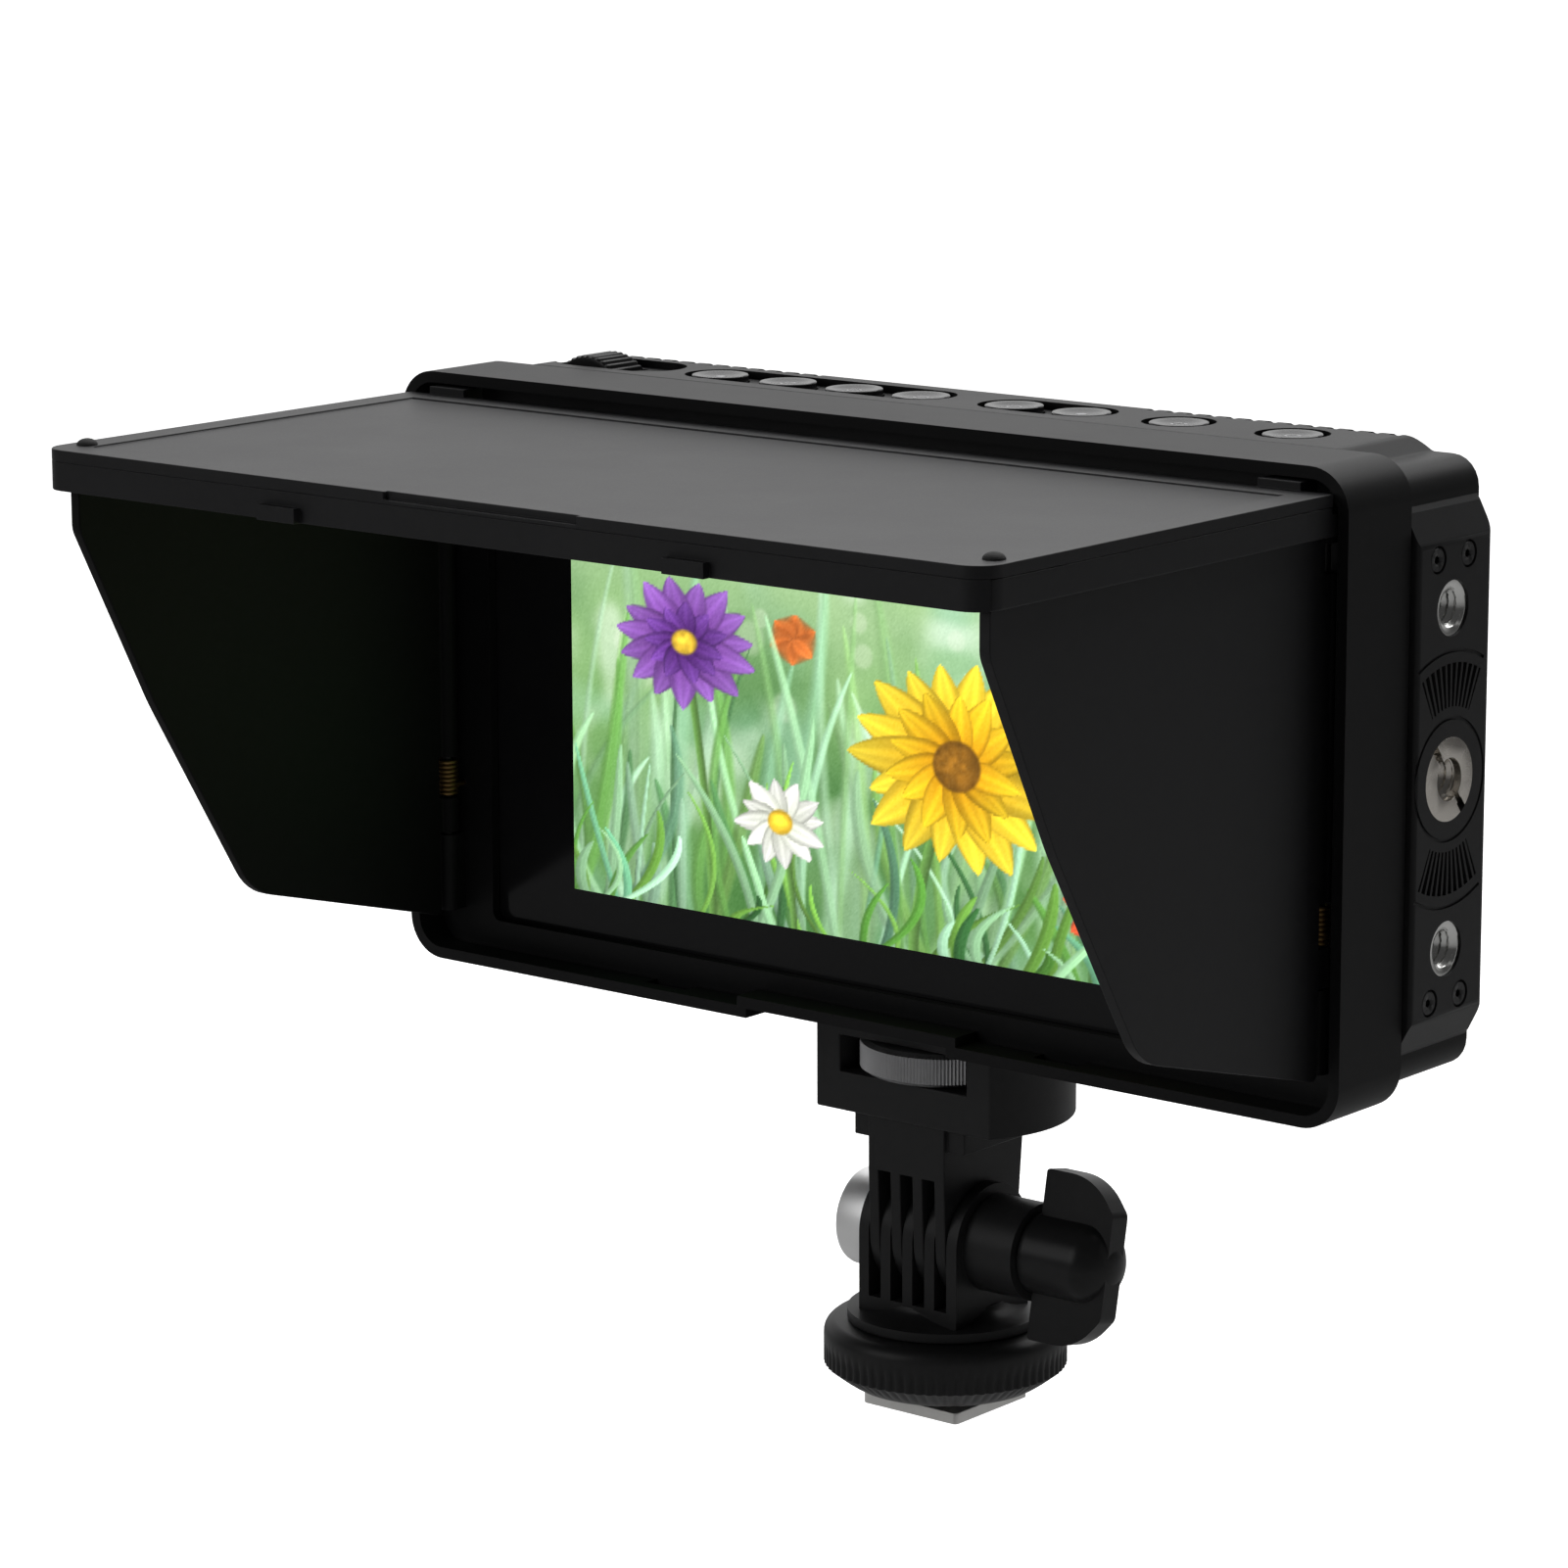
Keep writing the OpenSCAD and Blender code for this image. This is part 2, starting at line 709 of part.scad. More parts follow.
module shell_screws() color("dimgray")
    four_y(mid_z, column_x, column_dz, screw_core - snug, shell_y + face_t + 1, rear_y - 3.5);

module screen_glass() color([0.12, 0.13, 0.14])
    at_mid() along_y(lcd_y - glass_t, lcd_y) rounded_rect(glass_w, glass_h, 2);

module lcd_panel() color([0.3, 0.45, 0.35])
    at_mid() along_y(lcd_y, lcd_y + lcd_t) square([lcd_w, lcd_h], center = true);

module main_board() color("darkgreen") {
    difference() {
        at_mid() along_y(board_y - board_t, board_y) square([board_w, board_h], center = true);
        four_y(mid_z, board_x, board_dz, screw_core + slip, board_y - 5, board_y + 1);
    }
    for (chip = [[-34, 8, 16], [-8, -8, 14], [20, 10, 12], [44, -6, 10]]) {
        translate([chip[0] - chip[2] / 2, board_y - 0.1, mid_z + chip[1] - chip[2] / 2])
            cube([chip[2], 1.6, chip[2]]);
    }
}

module board_screws() color("silver") {
    four_y(mid_z, board_x, board_dz, screw_core - snug, board_y - board_t, board_y + 5);
    four_y(mid_z, board_x, board_dz, 1.8, board_y - board_t - 1.2, board_y - board_t);
}

// ---- top controls --------------------------------------------------------

module key_board() color("darkgreen") {
    block([key_x0, -5, key_z], [key_x1, 5, key_z + key_t]);
    for (x = button_x) {
        translate([x - 3, -3, key_z + key_t - 0.1]) cube([6, 6, switch_h - 0.5]);
        translate([x, 0, key_z + key_t]) cylinder(r = 1.7, h = switch_h);
    }
}

module button(x) color([0.17, 0.17, 0.18])
    translate([x, 0, 0]) difference() {
        union() {
            translate([0, 0, top_z - wall - gap - 1.5]) cylinder(r = button_r, h = wall + gap + 1.5);
            translate([0, 0, top_z - wall - gap - 1.5]) cylinder(r = flange_r, h = 1.5);
            translate([0, 0, stem_z]) cylinder(r = stem_r, h = top_z - wall - 1 - stem_z);
        }
        translate([0, 0, top_z + 17.6]) sphere(r = 18, $fn = 96);
    }

module button_1() button(button_x[0]);
module button_2() button(button_x[1]);
module button_3() button(button_x[2]);
module button_4() button(button_x[3]);
module button_5() button(button_x[4]);
module button_6() button(button_x[5]);
module button_7() button(button_x[6]);
module button_8() button(button_x[7]);

module menu_dial() color([0.1, 0.1, 0.11])
    translate([dial_x, 0, dial_z]) difference() {
        rotate([90, 0, 0]) linear_extrude(dial_w, center = true)
            polygon(ribbed(56, dial_r, 0.35));
        y_cyl(axle_r + run, -dial_w, dial_w);
    }

module dial_axle() color("silver")
    translate([dial_x, 0, dial_z]) y_cyl(axle_r, -dial_w / 2 - 1.8, dial_w / 2 + 1.8);

// ---- threads and sides ---------------------------------------------------

module bottom_bush() color("silver")
    difference() {
        translate([0, 0, body_z]) cylinder(r = bush_seat_r - snug, h = bush_h);
        translate([0, 0, body_z - 1]) cylinder(r = screw_r + run, h = bush_h + 2);
    }

// The seats of the side bush and the thread inserts
module side_bores(x0, x1) {
    at_mid() {
        x_cyl(bush_r, x0, x1);
        for (z = [-thread_z, thread_z]) {
            translate([0, 0, z]) x_cyl(insert_r, x0, x1);
        }
    }
}

module side_bush() color([0.62, 0.6, 0.56])
    at_mid() difference() {
        x_cyl(bush_r - snug, half_w - bush_l, half_w);
        x_cyl(screw_r, half_w - bush_l - 1, half_w + 1);
        for (a = [-52, 128]) {
            rotate([a, 0, 0]) block([half_w - 1.2, 4.4, -0.7], [half_w + 1, bush_r + 1, 0.7]);
        }
    }

module thread_inserts() color("silver")
    at_mid() for (z = [-thread_z, thread_z]) {
        translate([0, 0, z]) difference() {
            x_cyl(insert_r - snug, half_w - 0.3 - insert_l, half_w - 0.3);
            x_cyl(screw_r, half_w - 10, half_w + 1);
        }
    }

// Holes for the small screws of the side pads
module pad_screw_holes(r, x0, x1) {
    both() at_mid() for (y = [-1, 1], z = [-1, 1]) {
        translate([0, y * pad_screw_dy, z * pad_screw_dz]) x_cyl(r, x0, x1);
    }
}

module pad_screws() color("dimgray")
    difference() {
        union() {
            pad_screw_holes(screw_core - snug, shell_w - 3.4, half_w - 1.6);
            pad_screw_holes(small_screw_r, half_w - 1.8, half_w - 0.4);
        }
        pad_screw_holes(0.8, half_w - 1.3, half_w + 1);
    }

// A side pad: a plate with bevelled ends and rounded edges
module side_pad() {
    intersection() {
        at_mid() along_y(front_y, rear_y) polygon(rounded([
            [shell_w, half_h - 7.6, 0], [shell_w + 0.6, half_h - 8.4, 0.6],
            [half_w, half_h - 13, 2.5], [half_w, 13 - half_h, 2.5],
            [shell_w + 0.6, 8.4 - half_h, 0.6], [shell_w, 7.6 - half_h, 0]
        ]));
        translate([0, 0, body_z]) linear_extrude(body_h) polygon(rounded([
            [shell_w - 1, front_y + 0.2, 0], [half_w, front_y + 0.2, 0.8],
            [half_w, rear_y - 0.6, 1.2], [shell_w - 1, rear_y - 0.6, 0]
        ]));
    }
}

// A sector of a ring between the radii r0 and r1, about the profile's +Y
module fan(r0, r1, half_angle) {
    intersection() {
        difference() {
            circle(r1);
            circle(r0);
        }
        polygon([[0, 0], [30 * tan(half_angle), 30], [-30 * tan(half_angle), 30]]);
    }
}

// Two recessed fans of fine ribs under a thin arc each, and a ring round the side bush
module rib_fans() {
    at_mid() for (s = [0, 180]) {
        rotate([s, 0, 0]) {
            along_x(half_w - fan_depth, half_w + 1) difference() {
                fan(fan_in, fan_out, fan_step * fan_ribs / 2);
                for (i = [(1 - fan_ribs) / 2:(fan_ribs - 1) / 2]) {
                    rotate(i * fan_step) translate([-fine_w / 2, fan_in - 1])
                        square([fine_w, fan_out - fan_in + 2]);
                }
            }
            along_x(half_w - fan_depth / 2, half_w + 1)
                fan(arc_r - fine_w, arc_r, fan_step * fan_ribs / 2);
        }
    }
    at_mid() along_x(half_w - fan_depth / 2, half_w + 1) difference() {
        circle(ring_r);
        circle(ring_r - fine_w);
    }
}

module side_pad_right() color([0.1, 0.1, 0.105])
    difference() {
        side_pad();
        rib_fans();
        side_bores(shell_w - 1, half_w + 1);
        pad_screw_holes(screw_core + slip, shell_w - 1, half_w);
        pad_screw_holes(small_screw_r + slip, half_w - 1.8, half_w + 1);
    }

module side_pad_left() color([0.1, 0.1, 0.105])
    difference() {
        mirror([1, 0, 0]) side_pad();
        port_holes(-half_w - 1, -shell_w + 1);
        pad_screw_holes(screw_core + slip, shell_w - 1, half_w);
        pad_screw_holes(small_screw_r + slip, half_w - 1.8, half_w + 1);
    }

// The openings of the ports through the left side
module port_holes(x0, x1) {
    for (z = [hdmi_in_z, hdmi_out_z]) {
        block([x0, port_y - 3.1, mid_z + z - 8], [x1, port_y + 3.1, mid_z + z + 8]);
    }
    block([x0, port_y - 2.1, mid_z + usb_z - 4.8], [x1, port_y + 2.1, mid_z + usb_z + 4.8]);
    translate([0, port_y, mid_z + jack_z]) x_cyl(jack_r + slip, x0, x1);
}

// A metal port: an open sleeve with a tongue, on the board's edge
module port(z, w, t, tongue_w) {
    translate([-half_w + port_in, port_y, mid_z + z]) {
        difference() {
            block([0, -t / 2, -w / 2], [port_l, t / 2, w / 2]);
            block([-1, -t / 2 + 0.4, -w / 2 + 0.4], [port_l - 1, t / 2 - 0.4, w / 2 - 0.4]);
        }
        block([0.6, -0.5, -tongue_w / 2], [port_l - 0.5, 0.5, tongue_w / 2]);
    }
    block([-half_w + port_in + port_l - 4, board_y, mid_z + z - w / 2],
          [-half_w + port_in + port_l, port_y - t / 2 + 0.1, mid_z + z + w / 2]);
}

module hdmi_input() color("silver") port(hdmi_in_z, 15, 5.6, 11);
module hdmi_output() color("silver") port(hdmi_out_z, 15, 5.6, 11);
module usb_port() color("silver") port(usb_z, 9, 3.6, 6.4);

module headphone_jack() color([0.08, 0.08, 0.08])
    difference() {
        union() {
            translate([0, port_y, mid_z + jack_z])
                x_cyl(jack_r, -half_w + port_in, -cavity_w + 1);
            block([-cavity_w + gap, board_y, mid_z + jack_z - 3.4],
                  [-half_w + port_in + 15, port_y + 3, mid_z + jack_z + 3.4]);
        }
        translate([0, port_y, mid_z + jack_z]) x_cyl(1.75, -half_w, -half_w + port_in + 13.5);
    }

// ---- battery plate -------------------------------------------------------

module battery_plate() color([0.11, 0.11, 0.12])
    difference() {
        union() {
            translate([0, 0, plate_z]) along_y(rear_y, rear_y + plate_t)
                rounded_rect(plate_w, plate_h, 2);
            both() for (z = [-20, 0, 20]) {
                translate([0, 0, plate_z + z]) rail_hook();
            }
        }
        four_y(plate_z, plate_screw_x, plate_screw_dz, screw_core + slip, rear_y - 1, rear_y + 9);
        four_y(plate_z, plate_screw_x, plate_screw_dz, 2, rear_y + plate_t - 1.4, rear_y + 9);
        block([-8, rear_y + plate_t - 1.2, contact_z - 4.4],
              [8, rear_y + 9, contact_z + 4.4]);
        block([-latch_w / 2 - gap, rear_y + 0.8, latch_z - 3.4 - gap],
              [latch_w / 2 + gap, rear_y + 9, latch_z + 3.4 + gap]);
    }

// A hook that holds the battery's rail, at the plate's right edge
module rail_hook() {
    translate([0, 0, -3.5]) linear_extrude(7) polygon([
        [plate_w / 2 - 1.6, rear_y + 1], [plate_w / 2, rear_y + 1],
        [plate_w / 2, rear_y + plate_t + 3], [plate_w / 2 - 3.2, rear_y + plate_t + 3],
        [plate_w / 2 - 3.2, rear_y + plate_t + 1.8], [plate_w / 2 - 1.6, rear_y + plate_t + 1.8]
    ]);
}

module plate_screws() color("silver") {
    four_y(plate_z, plate_screw_x, plate_screw_dz, screw_core - snug, inner_y - 2.5,
        rear_y + plate_t - 1.2);
    four_y(plate_z, plate_screw_x, plate_screw_dz, 1.8, rear_y + plate_t - 1.4,
        rear_y + plate_t - 0.3);
}

module battery_contacts() color([0.8, 0.65, 0.25])
    for (x = [-5, 0, 5]) {
        block([x - 0.6, rear_y + plate_t - 1.2, contact_z - 3.6],
              [x + 0.6, rear_y + plate_t + 1.6, contact_z + 3.6]);
    }

module battery_latch() color([0.15, 0.15, 0.16])
    along_x(-latch_w / 2, latch_w / 2) polygon(rounded([
        [rear_y + plate_t - 0.6, latch_z - 3.4, 0], [rear_y + plate_t + 1.8, latch_z - 3.4, 0.5],
        [rear_y + plate_t + 1.8, latch_z + 0.4, 0.8], [rear_y + plate_t - 0.6, latch_z + 3.4, 0]
    ]));

// ---- hood ----------------------------------------------------------------

module hood_frame() color([0.1, 0.1, 0.105])
    difference() {
        union() {
            difference() {
                at_mid() along_y(hood_y, hood_rear)
                    rounded_rect(hood_w, body_h, hood_corner);
                at_mid() along_y(hood_y - 1, hood_rear + 1)
                    rounded_rect(hood_w - 2 * hood_wall, body_h - 2 * hood_wall,
                        hood_corner - hood_wall);
            }
            difference() {
                at_mid() along_y(flange_y, flange_y + flange_t)
                    rounded_rect(hood_w - 1, body_h - 1, hood_corner - 0.5);
                at_mid() along_y(hood_y, hood_rear) rounded_rect(view_w, view_h, 1.5);
            }
            block([-notch_half - hood_wall, hood_y, body_z + 0.5],
                  [notch_half + hood_wall, hood_rear, body_z + notch_h + hood_wall]);
            both() {
                side_lug(lug_low, lug_low_top);
                side_lug(lug_high, top_axis_z + barrel_r);
            }
        }
        block([-notch_half, hood_y - 1, body_z - 1], [notch_half, hood_rear + 1, body_z + notch_h]);
        both() {
            translate([side_axis_x, side_axis_y, lug_low + 1])
                cylinder(r = pin_r + snug, h = side_pin_top + snug - lug_low - 1);
            translate([0, top_axis_y, top_axis_z])
                x_cyl(pin_r + snug, lug_x0 - 1, hood_w / 2 - hood_wall + 1);
            block([tab_x - tab_w / 2 - 0.5, top_axis_y - 0.8, body_z + hood_wall - 1],
                  [tab_x + tab_w / 2 + 0.5, top_axis_y + 2, body_z + hood_wall + 1]);
            snap_catch(gap);
        }
    }

// A lug on the flange that holds a hinge pin
module side_lug(z0, z1) {
    translate([0, 0, z0]) linear_extrude(z1 - z0) {
        translate([side_axis_x, side_axis_y]) circle(barrel_r - 0.1);
        translate([lug_x0, side_axis_y]) square([lug_x1 - lug_x0, flange_y + 0.5 - side_axis_y]);
    }
}

module top_hinge_pins() color("silver")
    both() translate([0, top_axis_y, top_axis_z])
        x_cyl(pin_r, top_pin_x, hood_w / 2 - hood_wall + 0.9);

module side_hinge_pins() color("silver")
    both() translate([side_axis_x, side_axis_y, lug_low + 1.1])
        cylinder(r = pin_r, h = side_pin_top - lug_low - 1.1);

// A closely wound coil spring along Z, as rings that run into each other
module coil(h) {
    n = floor(h / (1.9 * wire_r));
    rotate_extrude() for (i = [0:n - 1]) {
        translate([coil_r, wire_r + i * 1.9 * wire_r]) circle(wire_r, $fn = 16);
    }
}

module hinge_springs() color([0.78, 0.6, 0.25])
    both() {
        translate([side_axis_x, side_axis_y, coil_low + gap]) coil(coil_high - coil_low - 2 * gap);
        translate([side_axis_x - coil_r, 0, coil_low + 2]) y_cyl(wire_r, side_axis_y, flange_y);
        translate([top_pin_x + 0.4, top_axis_y, top_axis_z]) rotate([0, 90, 0]) coil(3.8);
        translate([top_pin_x + 2, 0, top_axis_z - coil_r]) y_cyl(wire_r, top_axis_y, flange_y);
    }

// The outline of the top flap seen from above, less an inset
module flap_outline(c, rear, r) {
    polygon(rounded([
        [-flap_half + c, rear, 0], [-flap_half + c, top_front + c, r],
        [flap_half - c, top_front + c, r], [flap_half - c, rear, 0]
    ]));
}

// The rim under the top flap's panel, between two distances from the back
module flap_rim(y0, y1) {
    translate([0, 0, rim_z]) linear_extrude(rim_h - flap_t) intersection() {
        difference() {
            flap_outline(0, panel_rear, flap_corner);
            flap_outline(rim_t, panel_rear + 1, rim_corner);
        }
        translate([-hood_w, y0]) square([2 * hood_w, y1 - y0]);
    }
}

module top_flap() color([0.14, 0.14, 0.145])
    difference() {
        union() {
            translate([0, 0, flap_top - flap_t]) linear_extrude(flap_t)
                flap_outline(0, panel_rear, flap_corner);
            both() block([ear_x0, panel_rear - 1, flap_top - flap_t],
                         [ear_x1, hood_y + 3, flap_top + 1.3]);
        }
        translate([0, 0, flap_top - 0.3]) linear_extrude(1)
            flap_outline(border_w, panel_rear - border_w, flap_corner / 2);
        block([-lip_half, top_front - 1, flap_top - 1.2], [lip_half, top_front + 0.8, flap_top + 1]);
    }

module flap_front() color([0.14, 0.14, 0.145]) {
    flap_rim(top_front - 1, rim_front);
    both() block([tab_x - tab_w / 2, top_front - 1.3, rim_z],
                 [tab_x + tab_w / 2, top_front + 1, rim_z + 2.2]);
}

module flap_cheeks() color([0.14, 0.14, 0.145])
    difference() {
        union() {
            flap_rim(rim_front, panel_rear + 1);
            both() along_x(flap_half - rim_t, flap_half) {
                translate([top_axis_y, top_axis_z]) circle(barrel_r);
                translate([panel_rear - 2, top_axis_z - barrel_r])
                    square([top_axis_y - panel_rear + 2, 2 * barrel_r]);
            }
        }
        both() translate([0, top_axis_y, top_axis_z])
            x_cyl(pin_r + run, flap_half - rim_t - 1, flap_half + 1);
    }

module flap_bumpers() color([0.05, 0.05, 0.05])
    both() translate([bumper_x, bumper_y, flap_top]) rotate_extrude() polygon(concat(
        [[0, 0], [1.6, 0]],
        [for (a = [15:15:90]) [1.6 * cos(a), sin(a)]]
    ));

// The plate and barrel of the right side flap
module side_flap() {
    plate_x0 = side_axis_x - side_plate_in;
    difference() {
        union() {
            along_x(plate_x0, plate_x0 + flap_t) {
                polygon(rounded([
                    [notch_y, lug_low - 0.8, 1], [notch_y, side_notch_top, 0.5],
                    [notch_y - 6.4, side_notch_top, 0.3], [notch_y - 7.2, side_top, 0.3],
                    [side_front, side_top, 1.5], [side_front, side_top - 7, 4],
                    [hood_y - 62, body_z + 51, 60], [hood_y - 42, body_z + 18.2, 10]
                ]));
                translate([notch_y - 1, barrel_low])
                    square([side_axis_y - notch_y + 1, coil_low - barrel_low]);
                translate([notch_y - 1, coil_high])
                    square([side_axis_y - notch_y + 1, barrel_high - coil_high]);
            }
            translate([side_axis_x, side_axis_y, barrel_low])
                cylinder(r = barrel_r, h = coil_low - barrel_low);
            translate([side_axis_x, side_axis_y, coil_high])
                cylinder(r = barrel_r, h = barrel_high - coil_high);
        }
        translate([side_axis_x, side_axis_y, lug_low]) cylinder(r = pin_r + run, h = body_h);
    }
}

module side_flap_right() color([0.12, 0.12, 0.125]) side_flap();
module side_flap_left() color([0.12, 0.12, 0.125]) mirror([1, 0, 0]) side_flap();

shoe_foot();
lock_wheel();
tilt_base();
cap_nut();
tilt_bolt();
tilt_knob();
mount_arm();
mount_block();
mount_pad();
thumb_wheel();
mount_screw();
arm_screws();
front_shell();
rear_shell();
shell_screws();
screen_glass();
lcd_panel();
main_board();
board_screws();
key_board();
button_1();
button_2();
button_3();
button_4();
button_5();
button_6();
button_7();
button_8();
menu_dial();
dial_axle();
bottom_bush();
side_bush();
side_pad_right();
side_pad_left();
thread_inserts();
pad_screws();
hdmi_input();
hdmi_output();
usb_port();
headphone_jack();
battery_plate();
plate_screws();
battery_contacts();
battery_latch();
hood_frame();
top_flap();
flap_front();
flap_cheeks();
flap_bumpers();
side_flap_left();
side_flap_right();
top_hinge_pins();
side_hinge_pins();
hinge_springs();
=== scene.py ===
"""Looks of a camera field monitor with a folding sun hood on a tilting shoe mount.

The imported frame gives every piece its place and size. This script dresses those pieces: it rounds
the moulded edges, cuts the knurls and threads, paints the picture on the screen and sets up the
studio. Lengths are written in millimetres and turned into metres where a mesh is made.
"""

from __future__ import annotations

import itertools
import logging
import math
from dataclasses import dataclass, field
from enum import Enum
from typing import Callable, Sequence

import bmesh
import bpy
import numpy as np
from mathutils import Matrix


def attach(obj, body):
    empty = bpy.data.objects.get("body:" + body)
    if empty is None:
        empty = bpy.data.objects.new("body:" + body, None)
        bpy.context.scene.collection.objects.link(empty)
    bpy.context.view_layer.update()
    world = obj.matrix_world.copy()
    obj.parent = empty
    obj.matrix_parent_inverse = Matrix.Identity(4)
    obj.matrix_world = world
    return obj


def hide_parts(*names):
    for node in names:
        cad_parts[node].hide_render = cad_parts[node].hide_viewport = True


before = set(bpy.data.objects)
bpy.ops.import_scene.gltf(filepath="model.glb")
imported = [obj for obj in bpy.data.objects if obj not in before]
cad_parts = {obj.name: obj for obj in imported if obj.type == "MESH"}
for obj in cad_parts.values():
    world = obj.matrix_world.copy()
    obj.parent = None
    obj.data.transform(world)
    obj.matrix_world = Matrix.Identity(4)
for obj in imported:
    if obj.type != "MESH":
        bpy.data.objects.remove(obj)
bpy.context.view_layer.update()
LOG = logging.getLogger("field_monitor")
MM = 0.001
Colour = tuple[float, float, float]
Point = tuple[float, float, float]
Pair = tuple[float, float]
Array = np.ndarray
Material = bpy.types.Material
Piece = bpy.types.Object
NOISE_ROUGHNESS = 0.55
WELD_MM = 0.002
FLAT_DEGREES = 0.4
EDGE_DEGREES = 32.0
SHARP_DEGREES = 35.0


class Axis(Enum):
    """The direction that a turned piece is turned about."""

    X = 0
    Y = 1
    Z = 2


class Socket:
    """An output of a shader node, on which arithmetic adds Math nodes."""

    def __init__(self, graph: Graph, port: bpy.types.NodeSocket) -> None:
        """Keeps the node tree and the output that this stands for."""
        self.graph = graph
        self.port = port

    def _math(self, operation: str, a: Socket | float, b: Socket | float = 0.0) -> Socket:
        """Adds one Math node.

        Args:
            operation: The Math node's operation.
            a: The first operand.
            b: The second operand.

        Returns:
            The node's value.
        """
        return self.graph.node("ShaderNodeMath", {"operation": operation}, {0: a, 1: b})

    def __add__(self, other: Socket | float) -> Socket:
        """This plus other."""
        return self._math("ADD", self, other)

    def __sub__(self, other: Socket | float) -> Socket:
        """This minus other."""
        return self._math("SUBTRACT", self, other)

    def __rsub__(self, other: Socket | float) -> Socket:
        """Other minus this."""
        return self._math("SUBTRACT", other, self)

    def __mul__(self, other: Socket | float) -> Socket:
        """This times other."""
        return self._math("MULTIPLY", self, other)

    def __lt__(self, other: Socket | float) -> Socket:
        """One where this is less than other, else zero."""
        return self._math("LESS_THAN", self, other)

    def __abs__(self) -> Socket:
        """The size of this without its sign."""
        return self._math("ABSOLUTE", self)


class Graph:
    """The node tree of one material or of the world, built through one method."""

    def __init__(self, name: str, world: bool = False) -> None:
        """Makes an empty material or world.

        Args:
            name: Its name.
            world: Whether it is a world.
        """
        self.owner = (bpy.data.worlds if world else bpy.data.materials).new(name)
        self.owner.use_nodes = True
        self.tree = self.owner.node_tree
        self.tree.nodes.clear()

    def node(self, kind: str, settings: dict | None = None, inputs: dict | None = None,
             output: int | str = 0) -> Socket:
        """Adds a node, sets it up and links it.

        Args:
            kind: The node's type.
            settings: Attributes set first.
            inputs: Values or sockets by input name or number.
            output: The output to hand back.

        Returns:
            That output.
        """
        made = self.tree.nodes.new(kind)
        for key, value in (settings or {}).items():
            setattr(made, key, value)
        for key, value in (inputs or {}).items():
            if isinstance(value, Socket):
                self.tree.links.new(value.port, made.inputs[key])
            elif isinstance(value, tuple) and len(value) == 3 and made.inputs[key].type == "RGBA":
                made.inputs[key].default_value = (*value, 1.0)
            else:
                made.inputs[key].default_value = value
        return Socket(self, made.outputs[output])

    def place(self) -> Socket:
        """The point on the piece, in metres."""
        return self.node("ShaderNodeTexCoord", output="Object")

    def noise(self, size_mm: float, detail: float, stretch: Point = (1.0, 1.0, 1.0)) -> Socket:
        """Noise on the piece's own coordinates.

        Args:
            size_mm: The size of one cell.
            detail: Octaves of finer noise.
            stretch: How much longer the cells are along each axis.

        Returns:
            A value from 0 to 1.
        """
        scale = tuple(1.0 / (size_mm * MM * s) for s in stretch)
        spot = self.node("ShaderNodeMapping", {}, {"Vector": self.place(), "Scale": scale},
                         "Vector")
        return self.node("ShaderNodeTexNoise", {}, {"Vector": spot, "Scale": 1.0,
                         "Detail": detail, "Roughness": NOISE_ROUGHNESS}, "Fac")

    def blend(self, a: Socket | Colour, b: Socket | Colour, share: Socket | float) -> Socket:
        """A mix of two colours.

        Args:
            a: The colour at share 0.
            b: The colour at share 1.
            share: The share of b.

        Returns:
            The mixed colour.
        """
        return self.node("ShaderNodeMix", {"data_type": "RGBA"}, {0: share, 6: a, 7: b}, 2)

    def finish(self, **sockets: Socket | float | Colour) -> Material:
        """Ends the material in one Principled shader.

        Args:
            **sockets: Its inputs, with underscores for the spaces in their names.

        Returns:
            The material.
        """
        inputs = {key.replace("_", " "): value for key, value in sockets.items()}
        self.end(self.node("ShaderNodeBsdfPrincipled", {}, inputs, "BSDF"))
        return self.owner

    def end(self, shader: Socket, output: str = "ShaderNodeOutputMaterial") -> None:
        """Links a shader to the tree's output."""
        out = self.tree.nodes.new(output)
        self.tree.links.new(shader.port, out.inputs["Surface"])

    def rays(self, *kinds: str) -> list[Socket]:
        """For each kind of ray, a value that is one on such a ray and else zero."""
        return [self.node("ShaderNodeLightPath", output=f"Is {kind} Ray") for kind in kinds]

    def rise(self, value: Socket, start: Pair, end: Pair) -> Socket:
        """A smooth step from one level to another.

        Args:
            value: What it follows.
            start: The value where it starts and its level there.
            end: The value where it ends and its level there.

        Returns:
            The level.
        """
        ends = {"From Min": start[0], "From Max": end[0], "To Min": start[1], "To Max": end[1]}
        return self.node("ShaderNodeMapRange", {"clamp": True, "interpolation_type": "SMOOTHSTEP"},
                         {"Value": value, **ends}, "Result")

    def bump(self, height: Socket, depth_mm: float, strength: float) -> Socket:
        """A normal bent by a height.

        Args:
            height: The height, from 0 to 1.
            depth_mm: What 1 stands for.
            strength: The share of the effect.

        Returns:
            The normal.
        """
        return self.node("ShaderNodeBump", {}, {"Height": height, "Distance": depth_mm * MM,
                         "Strength": strength}, "Normal")


@dataclass(frozen=True)
class Finish:
    """A finish, which makes its material."""

    name: str

    def material(self) -> Material:
        """Makes the material."""
        raise NotImplementedError


